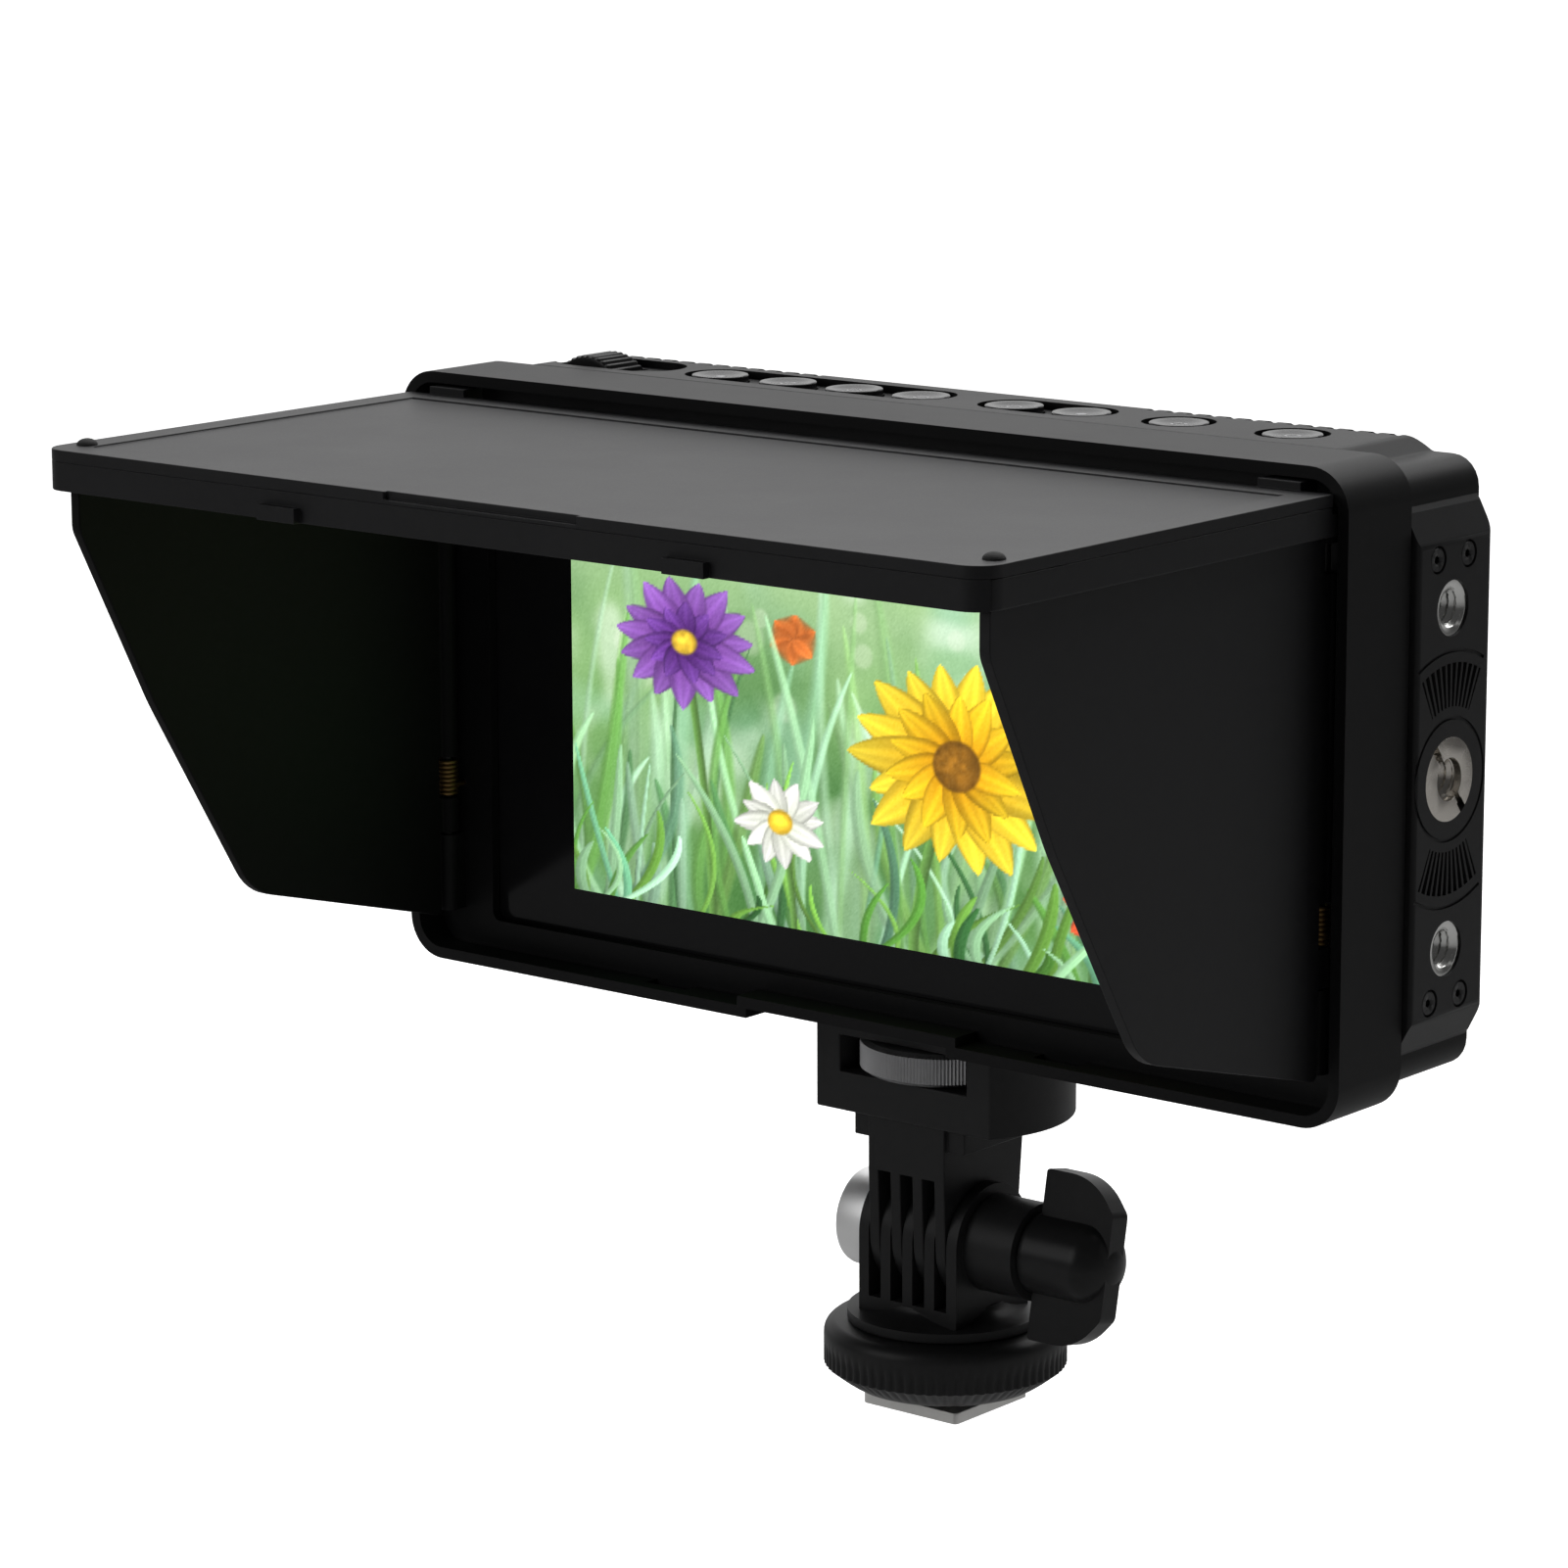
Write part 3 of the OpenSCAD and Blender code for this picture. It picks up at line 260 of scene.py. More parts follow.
@dataclass(frozen=True)
class MouldedPlastic(Finish):
    """Moulded plastic with a fine spark-eroded grain and a slightly uneven sheen."""

    colour: Colour
    roughness: float
    grain_mm: float
    grain_depth_mm: float
    mottle: float = 0.08
    sheen_level: float = 0.2

    def material(self) -> Material:
        """Grain drives the bump, and a broad and a fine noise the roughness and the tone.

        Returns:
            The material.
        """
        g = Graph(self.name)
        grain = g.noise(self.grain_mm, 2.0)
        broad = g.noise(24.0, 3.0)
        fine = g.noise(1.6, 2.0)
        tone = broad * 0.6 + fine * 0.4
        pale = tuple(min(1.0, c * 1.35 + 0.001) for c in self.colour)
        dark = tuple(c * 0.75 for c in self.colour)
        return g.finish(
            Base_Color=g.blend(dark, pale, tone),
            Roughness=(broad * self.mottle + grain * self.mottle) + (self.roughness - self.mottle),
            Specular_IOR_Level=self.sheen_level,
            Normal=g.bump(grain, self.grain_depth_mm, 0.6),
        )


@dataclass(frozen=True)
class MachinedMetal(Finish):
    """Bare or plated metal with fine lines along one direction."""

    colour: Colour
    roughness: float
    lines: Axis = Axis.X
    line_mm: float = 0.12
    line_depth_mm: float = 0.004
    tarnish: float = 0.25

    def material(self) -> Material:
        """Noise that is drawn out along the lines drives roughness and bump.

        Returns:
            The material.
        """
        g = Graph(self.name)
        stretch = [1.0, 1.0, 1.0]
        stretch[self.lines.value] = 30.0
        lines = g.noise(self.line_mm, 2.0, tuple(stretch))
        stain = g.noise(3.5, 4.0)
        dull = tuple(c * (1.0 - self.tarnish) for c in self.colour)
        return g.finish(
            Base_Color=g.blend(dull, self.colour, stain),
            Metallic=1.0,
            Roughness=lines * 0.12 + stain * 0.1 + (self.roughness - 0.08),
            Normal=g.bump(lines, self.line_depth_mm, 0.5),
        )


@dataclass(frozen=True)
class SoftRubber(Finish):
    """Matte rubber with a dusty surface."""

    colour: Colour = (0.012, 0.012, 0.012)

    def material(self) -> Material:
        """Fine noise lifts the tone and dulls the sheen.

        Returns:
            The material.
        """
        g = Graph(self.name)
        dust = g.noise(0.5, 4.0)
        return g.finish(
            Base_Color=g.blend(self.colour, tuple(c * 2.2 for c in self.colour), dust),
            Roughness=dust * 0.15 + 0.72,
            Normal=g.bump(dust, 0.01, 0.5),
        )


@dataclass(frozen=True)
class CircuitBoard(Finish):
    """Solder mask over copper tracks."""

    mask: Colour = (0.01, 0.09, 0.04)
    track: Colour = (0.03, 0.2, 0.08)
    pitch_mm: float = 2.4

    def material(self) -> Material:
        """Thin steps of a stretched noise stand for the tracks.

        Returns:
            The material.
        """
        g = Graph(self.name)
        run = g.noise(self.pitch_mm, 1.0, (3.0, 1.0, 1.0))
        edge = abs(run * 9.0 - 4.5) < 0.35
        return g.finish(
            Base_Color=g.blend(self.mask, self.track, edge),
            Roughness=edge * -0.1 + 0.4,
            Normal=g.bump(edge, 0.03, 0.5),
        )


@dataclass(frozen=True)
class CoverGlass(Finish):
    """The screen's glass, printed black behind and faintly uneven in front."""

    colour: Colour = (0.007, 0.007, 0.0075)

    def material(self) -> Material:
        """A little haze in the gloss, as an anti-glare film gives.

        Returns:
            The material.
        """
        g = Graph(self.name)
        haze = g.noise(2.5, 2.0)
        smear = g.noise(18.0, 3.0)
        return g.finish(
            Base_Color=g.blend(self.colour, tuple(c * 1.6 for c in self.colour), smear),
            Roughness=smear * 0.05 + haze * 0.03 + 0.1,
            Specular_IOR_Level=0.18,
        )


@dataclass(frozen=True)
class LitPicture(Finish):
    """The picture of the screen: it glows in the colours painted on its points."""

    attribute: str = "picture"
    glow: float = 1.3

    def material(self) -> Material:
        """The painted colour feeds the emission, and a fine grid of cells the gloss.

        Returns:
            The material.
        """
        g = Graph(self.name)
        paint = g.node("ShaderNodeVertexColor", {"layer_name": self.attribute}, output="Color")
        cells = g.noise(0.07, 0.0)
        return g.finish(
            Base_Color=(0.004, 0.004, 0.005),
            Roughness=cells * 0.04 + 0.12,
            Specular_IOR_Level=0.18,
            Emission_Color=paint,
            Emission_Strength=self.glow,
        )


def new_object(name: str, points: Array, faces: Array, smooth: bool = True) -> Piece:
    """Makes an object at the origin from points and four-sided faces.

    Args:
        name: The object's name.
        points: Points in millimetres, one row each.
        faces: Point numbers, four a row.
        smooth: Whether the faces are shaded smooth.

    Returns:
        The object.
    """
    mesh = bpy.data.meshes.new(name)
    mesh.vertices.add(len(points))
    mesh.vertices.foreach_set("co", (points * MM).astype(np.float32).ravel())
    mesh.loops.add(faces.size)
    mesh.loops.foreach_set("vertex_index", faces.astype(np.int32).ravel())
    mesh.polygons.add(len(faces))
    mesh.polygons.foreach_set("loop_start", np.arange(0, faces.size, 4, dtype=np.int32))
    mesh.polygons.foreach_set("use_smooth", np.full(len(faces), smooth))
    mesh.update(calc_edges=True)
    mesh.validate()
    return add(name, mesh)


def add(name: str, data: bpy.types.ID) -> Piece:
    """Puts a mesh, a lamp or a camera into the scene.

    Args:
        name: The object's name.
        data: What the object shows.

    Returns:
        The object, at the origin.
    """
    made = bpy.data.objects.new(name, data)
    bpy.context.scene.collection.objects.link(made)
    return made


def grid_faces(rows: int, columns: int, wrap_rows: bool, wrap_columns: bool) -> Array:
    """Faces between the points of a grid that is stored row by row.

    Args:
        rows: Rows of points.
        columns: Points in a row.
        wrap_rows: Whether the last row joins the first.
        wrap_columns: Whether the last column joins the first.

    Returns:
        Point numbers, four a row.
    """
    i = np.arange(rows if wrap_rows else rows - 1)[:, None]
    j = np.arange(columns if wrap_columns else columns - 1)[None, :]
    below, left = (i + 1) % rows, (j + 1) % columns
    corners = [i * columns + j, i * columns + left, below * columns + left, below * columns + j]
    return np.stack([np.broadcast_to(c, (i.size, j.size)) for c in corners], axis=-1).reshape(-1, 4)


def about(axis: Axis, radius: Array, angle: Array, along: Array) -> Array:
    """Points at a radius and an angle round an axis.

    The two directions across the axis follow it in the order X, Y, Z, so the frame is right-handed.

    Args:
        axis: The axis.
        radius: Distances from it.
        angle: Angles round it, in radians.
        along: Distances along it.

    Returns:
        Points, one row each.
    """
    across, up = (axis.value + 1) % 3, (axis.value + 2) % 3
    points = np.empty((*np.broadcast(radius, angle, along).shape, 3))
    points[..., axis.value] = along
    points[..., across] = radius * np.cos(angle)
    points[..., up] = radius * np.sin(angle)
    return points.reshape(-1, 3)


def turned(name: str, axis: Axis, centre: Sequence[float], profile: Sequence[Sequence[float]],
           turns: int, shift: Callable[[Array, Array, Array], Array] | None = None) -> Piece:
    """A closed turned piece: the profile's points, carried round the axis.

    The point at angle a of profile point (r, s) lies at radius r + shift(r, s, a).

    Args:
        name: The object's name.
        axis: The axis that it is turned about.
        centre: A point on the axis.
        profile: Radius and place along the axis, anticlockwise with the axis upward.
        turns: Points in one turn.
        shift: What is added to the radius.

    Returns:
        The object.
    """
    rim = np.asarray(profile, dtype=float)
    radius, along = rim[:, 0][:, None], rim[:, 1][:, None]
    angle = (np.arange(turns) * 2 * math.pi / turns)[None, :]
    swollen = radius + (shift(radius, along, angle) if shift else 0.0)
    points = about(axis, np.maximum(swollen, 0.0), angle, along) + np.asarray(centre)
    made = new_object(name, points, grid_faces(len(rim), turns, True, True))
    close_poles(made)
    made.data.shade_smooth()
    made.data.set_sharp_from_angle(angle=math.radians(SHARP_DEGREES))
    return made


def close_poles(piece: Piece) -> None:
    """Merges the points that fall on one spot, such as a ring of radius zero.

    Args:
        piece: The piece that has them.
    """
    work = bmesh.new()
    work.from_mesh(piece.data)
    bmesh.ops.remove_doubles(work, verts=work.verts, dist=1e-3 * MM)
    work.to_mesh(piece.data)
    work.free()


def unit(value: Array) -> Array:
    """Keeps values between 0 and 1."""
    return np.clip(value, 0.0, 1.0)


def half_wave(angle: Array, power: float) -> Array:
    """Half of one less the cosine, raised to a power."""
    return (0.5 - 0.5 * np.cos(angle)) ** power


def zigzag(turns: Array) -> Array:
    """A triangle wave that falls from 1 to 0 and rises again in each turn."""
    return abs(2.0 * (turns % 1.0) - 1.0)


def arc(centre: Sequence[float], radius: float, start: float, end: float, steps: int = 6
        ) -> list[Pair]:
    """Points along an arc, from one angle to another in degrees."""
    angles = np.radians(np.linspace(start, end, steps + 1))
    return [(centre[0] + radius * math.cos(a), centre[1] + radius * math.sin(a)) for a in angles]


def dress(piece: Piece, material: Material) -> None:
    """Gives a piece one material, in place of any that it has."""
    piece.data.materials.clear()
    piece.data.materials.append(material)


def dress_nodes(plan: dict[Material, Sequence[str]]) -> None:
    """Dresses the nodes that stay as the frame has them.

    Args:
        plan: The nodes of each finish.
    """
    for material, nodes in plan.items():
        for node in nodes:
            dress(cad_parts[node], material)


def place(piece: Piece, material: Material, body: str, finish: str, *nodes: str) -> Piece:
    """Dresses a new piece, mounts it on a body and hides the nodes that it stands for.

    Args:
        piece: The piece.
        material: Its finish.
        body: The body that carries it.
        finish: Not used.
        *nodes: The nodes that it replaces.

    Returns:
        The piece.
    """
    dress(piece, material)
    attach(piece, body)
    if nodes:
        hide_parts(*nodes)
    LOG.info("%s: %d faces on %s", piece.name, len(piece.data.polygons), body)
    return piece


def modify(piece: Piece, kind: str, **settings: float | bool | str | Piece) -> None:
    """Adds a modifier.

    Args:
        piece: The piece that gets it.
        kind: The modifier's type.
        **settings: Its settings.
    """
    added = piece.modifiers.new(kind, kind)
    for key, value in settings.items():
        setattr(added, key, value)


def apply_modifiers(piece: Piece) -> None:
    """Bakes a piece's modifiers into its mesh.

    Args:
        piece: The piece.
    """
    seen = piece.evaluated_get(bpy.context.evaluated_depsgraph_get())
    mesh = bpy.data.meshes.new_from_object(seen)
    piece.modifiers.clear()
    piece.data = mesh


def softened(node: str, width_mm: float, material: Material, body: str, finish: str) -> Piece:
    """A copy of a CAD node with rounded edges, which stands for the node.

    The triangles of its flat faces are merged first, and normals weighed by area keep them flat.

    Args:
        node: The node's name.
        width_mm: The width of the rounding.
        material: The finish.
        body: The body that carries it.
        finish: Handed on to place.

    Returns:
        The new piece.
    """
    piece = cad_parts[node].copy()
    piece.data = piece.data.copy()
    piece.name = f"{node}_moulded"
    piece.parent = None
    piece.matrix_world = Matrix.Identity(4)
    bpy.context.scene.collection.objects.link(piece)
    modify(piece, "WELD", merge_threshold=WELD_MM * MM)
    modify(piece, "DECIMATE", decimate_type="DISSOLVE", angle_limit=math.radians(FLAT_DEGREES))
    modify(piece, "BEVEL", width=width_mm * MM, segments=3, limit_method="ANGLE",
           angle_limit=math.radians(EDGE_DEGREES), use_clamp_overlap=True)
    modify(piece, "WEIGHTED_NORMAL", mode="FACE_AREA", weight=100)
    piece.data.shade_smooth()
    apply_modifiers(piece)
    return place(piece, material, body, finish, node)


def shared(finish: Finish) -> Material:
    """A field that makes this finish's material when its class is built."""
    return field(default_factory=finish.material)


@dataclass(frozen=True)
class Finishes:
    """Every finish on the monitor, made once and shared."""

    shell: Material = shared(MouldedPlastic(
        "shell_plastic", (0.007, 0.007, 0.0074), 0.42, 0.3, 0.014, sheen_level=0.14))
    hood: Material = shared(MouldedPlastic(
        "hood_plastic", (0.007, 0.007, 0.0074), 0.44, 0.24, 0.01, sheen_level=0.13))
    flap: Material = shared(MouldedPlastic(
        "flap_plastic", (0.0105, 0.0105, 0.0115), 0.46, 0.24, 0.008, sheen_level=0.25))
    # Painted shade: a darker, duller copy of the flap plastic, for the left side flap, whose inner
    # face lies in the shade of the hood
    shaded_flap: Material = shared(MouldedPlastic(
        "flap_plastic_painted_shade", (0.0045, 0.0045, 0.0046), 0.55, 0.24, 0.008, sheen_level=0.11))
    pad: Material = shared(MouldedPlastic("pad_plastic", (0.014, 0.014, 0.0145), 0.4, 0.26, 0.012))
    mount: Material = shared(MouldedPlastic("mount_plastic", (0.015, 0.015, 0.0155), 0.42, 0.3, 0.01))
    knob: Material = shared(MouldedPlastic(
        "knob_plastic", (0.016, 0.016, 0.0165), 0.3, 0.4, 0.004, 0.05, 0.17))
    button: Material = shared(MouldedPlastic(
        "button_plastic", (0.016, 0.016, 0.017), 0.2, 0.3, 0.002, 0.05, 0.42))
    mark: Material = shared(MouldedPlastic("button_mark", (0.42, 0.42, 0.43), 0.5, 0.2, 0.002))
    wheel: Material = shared(MachinedMetal(
        "wheel_aluminium", (0.52, 0.52, 0.53), 0.42, Axis.Z, 0.1, 0.006))
    steel: Material = shared(MachinedMetal("steel", (0.55, 0.55, 0.56), 0.26))
    foot: Material = shared(MachinedMetal(
        "foot_steel", (0.9, 0.89, 0.87), 0.5, line_mm=0.14, tarnish=0.2))
    nickel: Material = shared(MachinedMetal(
        "nickel", (0.74, 0.7, 0.64), 0.22, Axis.X, 0.1, 0.002, 0.3))
    cap: Material = shared(MachinedMetal(
        "cap_steel", (0.99, 0.99, 0.99), 0.42, Axis.X, 0.1, 0.003, 0.05))
    zinc: Material = shared(MachinedMetal("zinc", (0.78, 0.78, 0.76), 0.18, Axis.X, 0.1, 0.002, 0.2))
    blackened: Material = shared(MouldedPlastic(
        "dark_screw", (0.011, 0.011, 0.0115), 0.36, 0.2, 0.003, 0.06, 0.4))
    # Painted shade: brass darkened far below its own colour, standing for the shade of the hinge slots
    # that the springs sit in
    shaded_brass: Material = shared(MachinedMetal("spring_brass", (0.3, 0.19, 0.07), 0.42, Axis.Z))
    gold: Material = shared(MachinedMetal("contact_gold", (0.85, 0.6, 0.25), 0.22, Axis.Z))
    rubber: Material = shared(SoftRubber("rubber"))
    board: Material = shared(CircuitBoard("board"))
    glass: Material = shared(CoverGlass("glass"))


@dataclass
class ShoeMount:
    """The shoe foot, lock wheel, tilt hinge, knob and the block with its thumb wheel."""

    finishes: Finishes
    hinge_y: float = -0.5
    hinge_z: float = 27.8
    lock_base: float = 3.6
    lock_height: float = 10.1
    lock_radius: float = 19.2
    lock_chamfer: float = 4.2
    lock_bevel: float = 3.0
    lock_toe: float = 0.15
    lock_crown: float = 2.2
    lock_dish: float = 1.2
    lock_dish_radius: float = 13.0
    lock_ribs: int = 72
    rib_depth: float = 0.34
    rib_bottom: float = 0.6
    rib_top: float = 6.6
    post_radius: float = 4.08
    thumb_middle: float = 56.8
    thumb_height: float = 5.2
    thumb_radius: float = 13.5
    thumb_bore: float = 3.3
    thumb_ribs: int = 150
    knurl_depth: float = 0.22
    cap_base: float = -9.62
    cap_length: float = 6.3
    cap_radius: float = 7.9
    cap_dish: float = 0.5

    def build(self) -> None:
        """Builds and dresses the whole mount."""
        f = self.finishes
        softened("tilt_base", 0.35, f.mount, "base", "mount_plastic")
        softened("mount_arm", 0.35, f.mount, "monitor", "mount_plastic")
        softened("mount_block", 0.4, f.mount, "monitor", "mount_plastic")
        softened("tilt_knob", 0.7, f.knob, "knob", "knob_plastic")
        softened("shoe_foot", 0.18, f.foot, "base", "steel")
        self.lock_wheel()
        self.thumb_wheel()
        self.cap_nut()
        dress_nodes({f.steel: ("tilt_bolt", "mount_screw"), f.blackened: ("arm_screws",),
                     f.rubber: ("mount_pad",)})

    def lock_wheel(self) -> None:
        """The wheel's rim dips between ribs: the radius falls by a half-wave to a power."""
        z0, z1, r = self.lock_base, self.lock_base + self.lock_height, self.lock_radius
        foot, toe, crown = r - self.lock_chamfer, z0 + self.lock_toe, self.lock_crown
        slope = np.linspace(0.0, 1.0, 7)[1:]
        profile = [
            (self.post_radius, z0), (foot - 0.4, z0), (foot, toe),
            *[(foot + (r - foot) * t ** 0.9, toe + self.lock_bevel * t) for t in slope],
            *[(r, z) for z in np.linspace(z0 + self.lock_bevel + 0.7, z1 - crown - 0.2, 5)],
            *arc((r - crown, z1 - crown), crown, 10, 80), (self.lock_dish_radius, z1),
            (self.lock_dish_radius - 0.2, z1 - self.lock_dish),
            (self.post_radius, z1 - self.lock_dish),
        ]

        def ribs(radius: Array, along: Array, angle: Array) -> Array:
            """Shallow grooves that fade out towards the smooth upper part and the foot."""
            fade = unit((z0 + self.rib_top - along) / 1.4) * unit((along - z0 - self.rib_bottom) / 1.6)
            return np.where(radius > foot - 0.1,
                            -self.rib_depth * half_wave(angle * self.lock_ribs, 1.6) * fade, 0.0)

        wheel = turned("lock_wheel_ribbed", Axis.Z, (0, 0, 0), profile, self.lock_ribs * 10, ribs)
        place(wheel, self.finishes.mount, "lock_wheel", "mount_plastic", "lock_wheel")

    def thumb_wheel(self) -> None:
        """A straight knurl: the rim's radius follows a triangle wave."""
        half, r, z = self.thumb_height / 2, self.thumb_radius, self.thumb_middle
        rim = [(self.thumb_bore, half), (r - 0.9, half), (r - 0.35, half - 0.45), (r, half - 0.6)]
        profile = [*[(a, z - h) for a, h in rim], (r, z), *[(a, z + h) for a, h in rim[::-1]]]

        def knurl(radius: Array, along: Array, angle: Array) -> Array:
            """Grooves on the cylinder alone."""
            groove = self.knurl_depth * zigzag(angle * self.thumb_ribs / (2 * math.pi))
            return np.where(radius >= r - 0.01, -groove, 0.0)

        wheel = turned("thumb_wheel_knurled", Axis.Z, (0, 0, 0), profile, self.thumb_ribs * 6, knurl)
        place(wheel, self.finishes.wheel, "thumb_screw", "wheel_aluminium", "thumb_wheel")

    def cap_nut(self) -> None:
        """A turned cap with a chamfered rim and a shallow dish in its face."""
        x0, x1, r = self.cap_base - self.cap_length, self.cap_base, self.cap_radius
        dish = x0 + self.cap_dish
        profile = [
            (0.0, x1), (0.0, dish), (r - 3.2, dish), (r - 2.4, x0), (r - 0.7, x0),
            (r - 0.15, x0 + 0.4), (r, x0 + 0.9), (r, x1 - 0.3), (r - 0.3, x1),
        ]
        nut = turned("cap_nut_turned", Axis.X, (0, self.hinge_y, self.hinge_z), profile, 128)
        place(nut, self.finishes.cap, "base", "nickel", "cap_nut")


@dataclass
class MonitorBody:
    """The shells, side pads, ports, battery plate and the boards inside."""

    finishes: Finishes

    def build(self) -> None:
        """Rounds the moulded edges and dresses what stays as the frame has it."""
        f = self.finishes
        for node, width, material, slot in (("rear_shell", 0.25, f.shell, "shell_plastic"),
                                            ("front_shell", 0.2, f.shell, "black_plastic"),
                                            ("side_pad_left", 0.3, f.pad, "pad_plastic"),
                                            ("side_pad_right", 0.22, f.pad, "pad_plastic"),
                                            ("battery_plate", 0.25, f.shell, "shell_plastic")):
            softened(node, width, material, "monitor", slot)
        softened("battery_latch", 0.3, f.shell, "battery_latch", "black_plastic")
        dress_nodes({
            f.blackened: ("shell_screws",), f.gold: ("battery_contacts",),
            f.steel: ("board_screws", "plate_screws", "hdmi_input", "hdmi_output", "usb_port",
                      "dial_axle"),
            f.board: ("main_board", "key_board"), f.nickel: ("bottom_bush",),
            f.rubber: ("headphone_jack",), f.glass: ("lcd_panel", "screen_glass"),
        })


@dataclass
class SideThreads:
    """The threaded bush, the two inserts and the pad screws in the sides."""

    finishes: Finishes
    face_x: float = 91.2
    middle_z: float = 111.7
    spread: float = 25.0
    major: float = 3.175
    pitch: float = 1.27
    depth: float = 0.6
    mouth: float = 0.3
    insert_radius: float = 4.07
    insert_length: float = 6.6
    insert_sink: float = 0.3
    bush_wall: float = 0.35
    bush_length: float = 5.7
    bush_sink: float = 1.0
    screw_y: float = 4.0
    screw_z: float = 32.4
    screw_radius: float = 1.9
    screw_height: float = 1.6
    screw_edge: float = 0.25
    screw_sink: float = 0.12
    drive_radius: float = 0.6
    drive_depth: float = 1.1
    slot_turns: Pair = (-52.0, 128.0)
    slot_width: float = 1.0
    slot_depth: float = 1.2
    slot_start: float = 2.9
    slot_end: float = 5.2

    def build(self) -> None:
        """Builds the threads and the screws."""
        f = self.finishes
        for side, z in (("upper", self.spread), ("lower", -self.spread)):
            sleeve = self.sleeve(f"thread_insert_{side}", z, self.face_x - self.insert_sink,
                                 self.insert_radius, self.insert_length)
            place(sleeve, f.zinc, "monitor", "zinc", "thread_inserts")
        bush = self.sleeve("side_bush_thread", 0.0, self.face_x - self.bush_sink,
                           self.major + self.bush_wall, self.bush_length)
        place(bush, f.nickel, "monitor", "nickel")
        self.coin_slots(softened("side_bush", 0.15, f.nickel, "monitor", "nickel"))
        self.screws()

    def sleeve(self, name: str, z: float, mouth_x: float, outer: float, length: float) -> Piece:
        """A sleeve whose bore winds: its radius is a triangle wave of depth and angle.

        Args:
            name: The object's name.
            z: Height of its middle from the middle of the body.
            mouth_x: Where its mouth is.
            outer: Its outer radius.
            length: Its length.

        Returns:
            The sleeve.
        """
        end = mouth_x - length
        bore = [(self.major, x) for x in np.linspace(mouth_x - self.mouth, end, 72)]
        profile = [(outer, end), (outer, mouth_x), (self.major + self.mouth, mouth_x), *bore]

        def thread(radius: Array, along: Array, angle: Array) -> Array:
            """The crest moves one pitch along the bore in each turn."""
            wave = 1.0 - zigzag((along - end) / self.pitch - angle / (2 * math.pi))
            return np.where(radius <= self.major, -self.depth * wave, 0.0)

        return turned(name, Axis.X, (0, 0, self.middle_z + z), profile, 72, thread)

    def coin_slots(self, bush: Piece) -> None:
        """Lengthens the two coin slots inwards, from the rim to the bore.

        Args:
            bush: The bush's piece.
        """
        size = (2 * self.slot_depth, self.slot_end - self.slot_start, self.slot_width, 1.0)
        middle = (self.face_x * MM, (self.slot_start + self.slot_end) / 2 * MM, 0.0)
        for turn in self.slot_turns:
            work = bmesh.new()
            bmesh.ops.create_cube(work, size=MM)
            spin = Matrix.Rotation(math.radians(turn), 4, "X")
            lift = Matrix.Translation((0.0, 0.0, self.middle_z * MM))
            seat = lift @ spin @ Matrix.Translation(middle) @ Matrix.Diagonal(size)
            bmesh.ops.transform(work, matrix=seat, verts=work.verts)
            mesh = bpy.data.meshes.new("coin_slot")
            work.to_mesh(mesh)
            work.free()
            cutter = add("coin_slot", mesh)
            modify(bush, "BOOLEAN", operation="DIFFERENCE", solver="EXACT", object=cutter)
            apply_modifiers(bush)
            bpy.data.objects.remove(cutter)

    def screws(self) -> None:
        """Pan heads with a hexagonal socket: the socket's radius follows the hexagon's sides."""
        head, drive, edge = self.screw_radius, self.drive_radius, self.screw_edge
        face = self.face_x - self.screw_sink
        floor, socket = face - self.screw_height, face - self.drive_depth
        profile = [
            (0.0, floor), (head, floor), (head, face - edge), (head - edge, face),
            (drive + edge, face), (drive, face - 0.2), (drive, socket), (0.0, socket),
        ]

        def hexagon(radius: Array, along: Array, angle: Array) -> Array:
            """What a six-sided hole takes from the round one."""
            aside = (angle + math.pi / 6) % (math.pi / 3) - math.pi / 6
            return np.where(radius == drive, drive * (0.9 / np.cos(aside) - 1.0), 0.0)

        for number, (side, y, z) in enumerate(itertools.product((1, -1), (-1, 1), (-1, 1)), 1):
            middle = (0, y * self.screw_y, self.middle_z + z * self.screw_z)
            screw = turned(f"pad_screw_{number}", Axis.X, middle, profile, 48, hexagon)
            if side < 0:
                mirror_x(screw)
            place(screw, self.finishes.blackened, "monitor", "dark_screw", "pad_screws")


def mirror_x(piece: Piece) -> None:
    """Mirrors a piece's mesh in X and turns its faces outwards again."""
    piece.data.transform(Matrix.Scale(-1, 4, (1, 0, 0)))
    piece.data.flip_normals()


class Mark(Enum):
    """The plain signs on the buttons."""

    DOT = "dot"
    BAR = "bar"
    CROSS = "cross"
    RING = "ring"


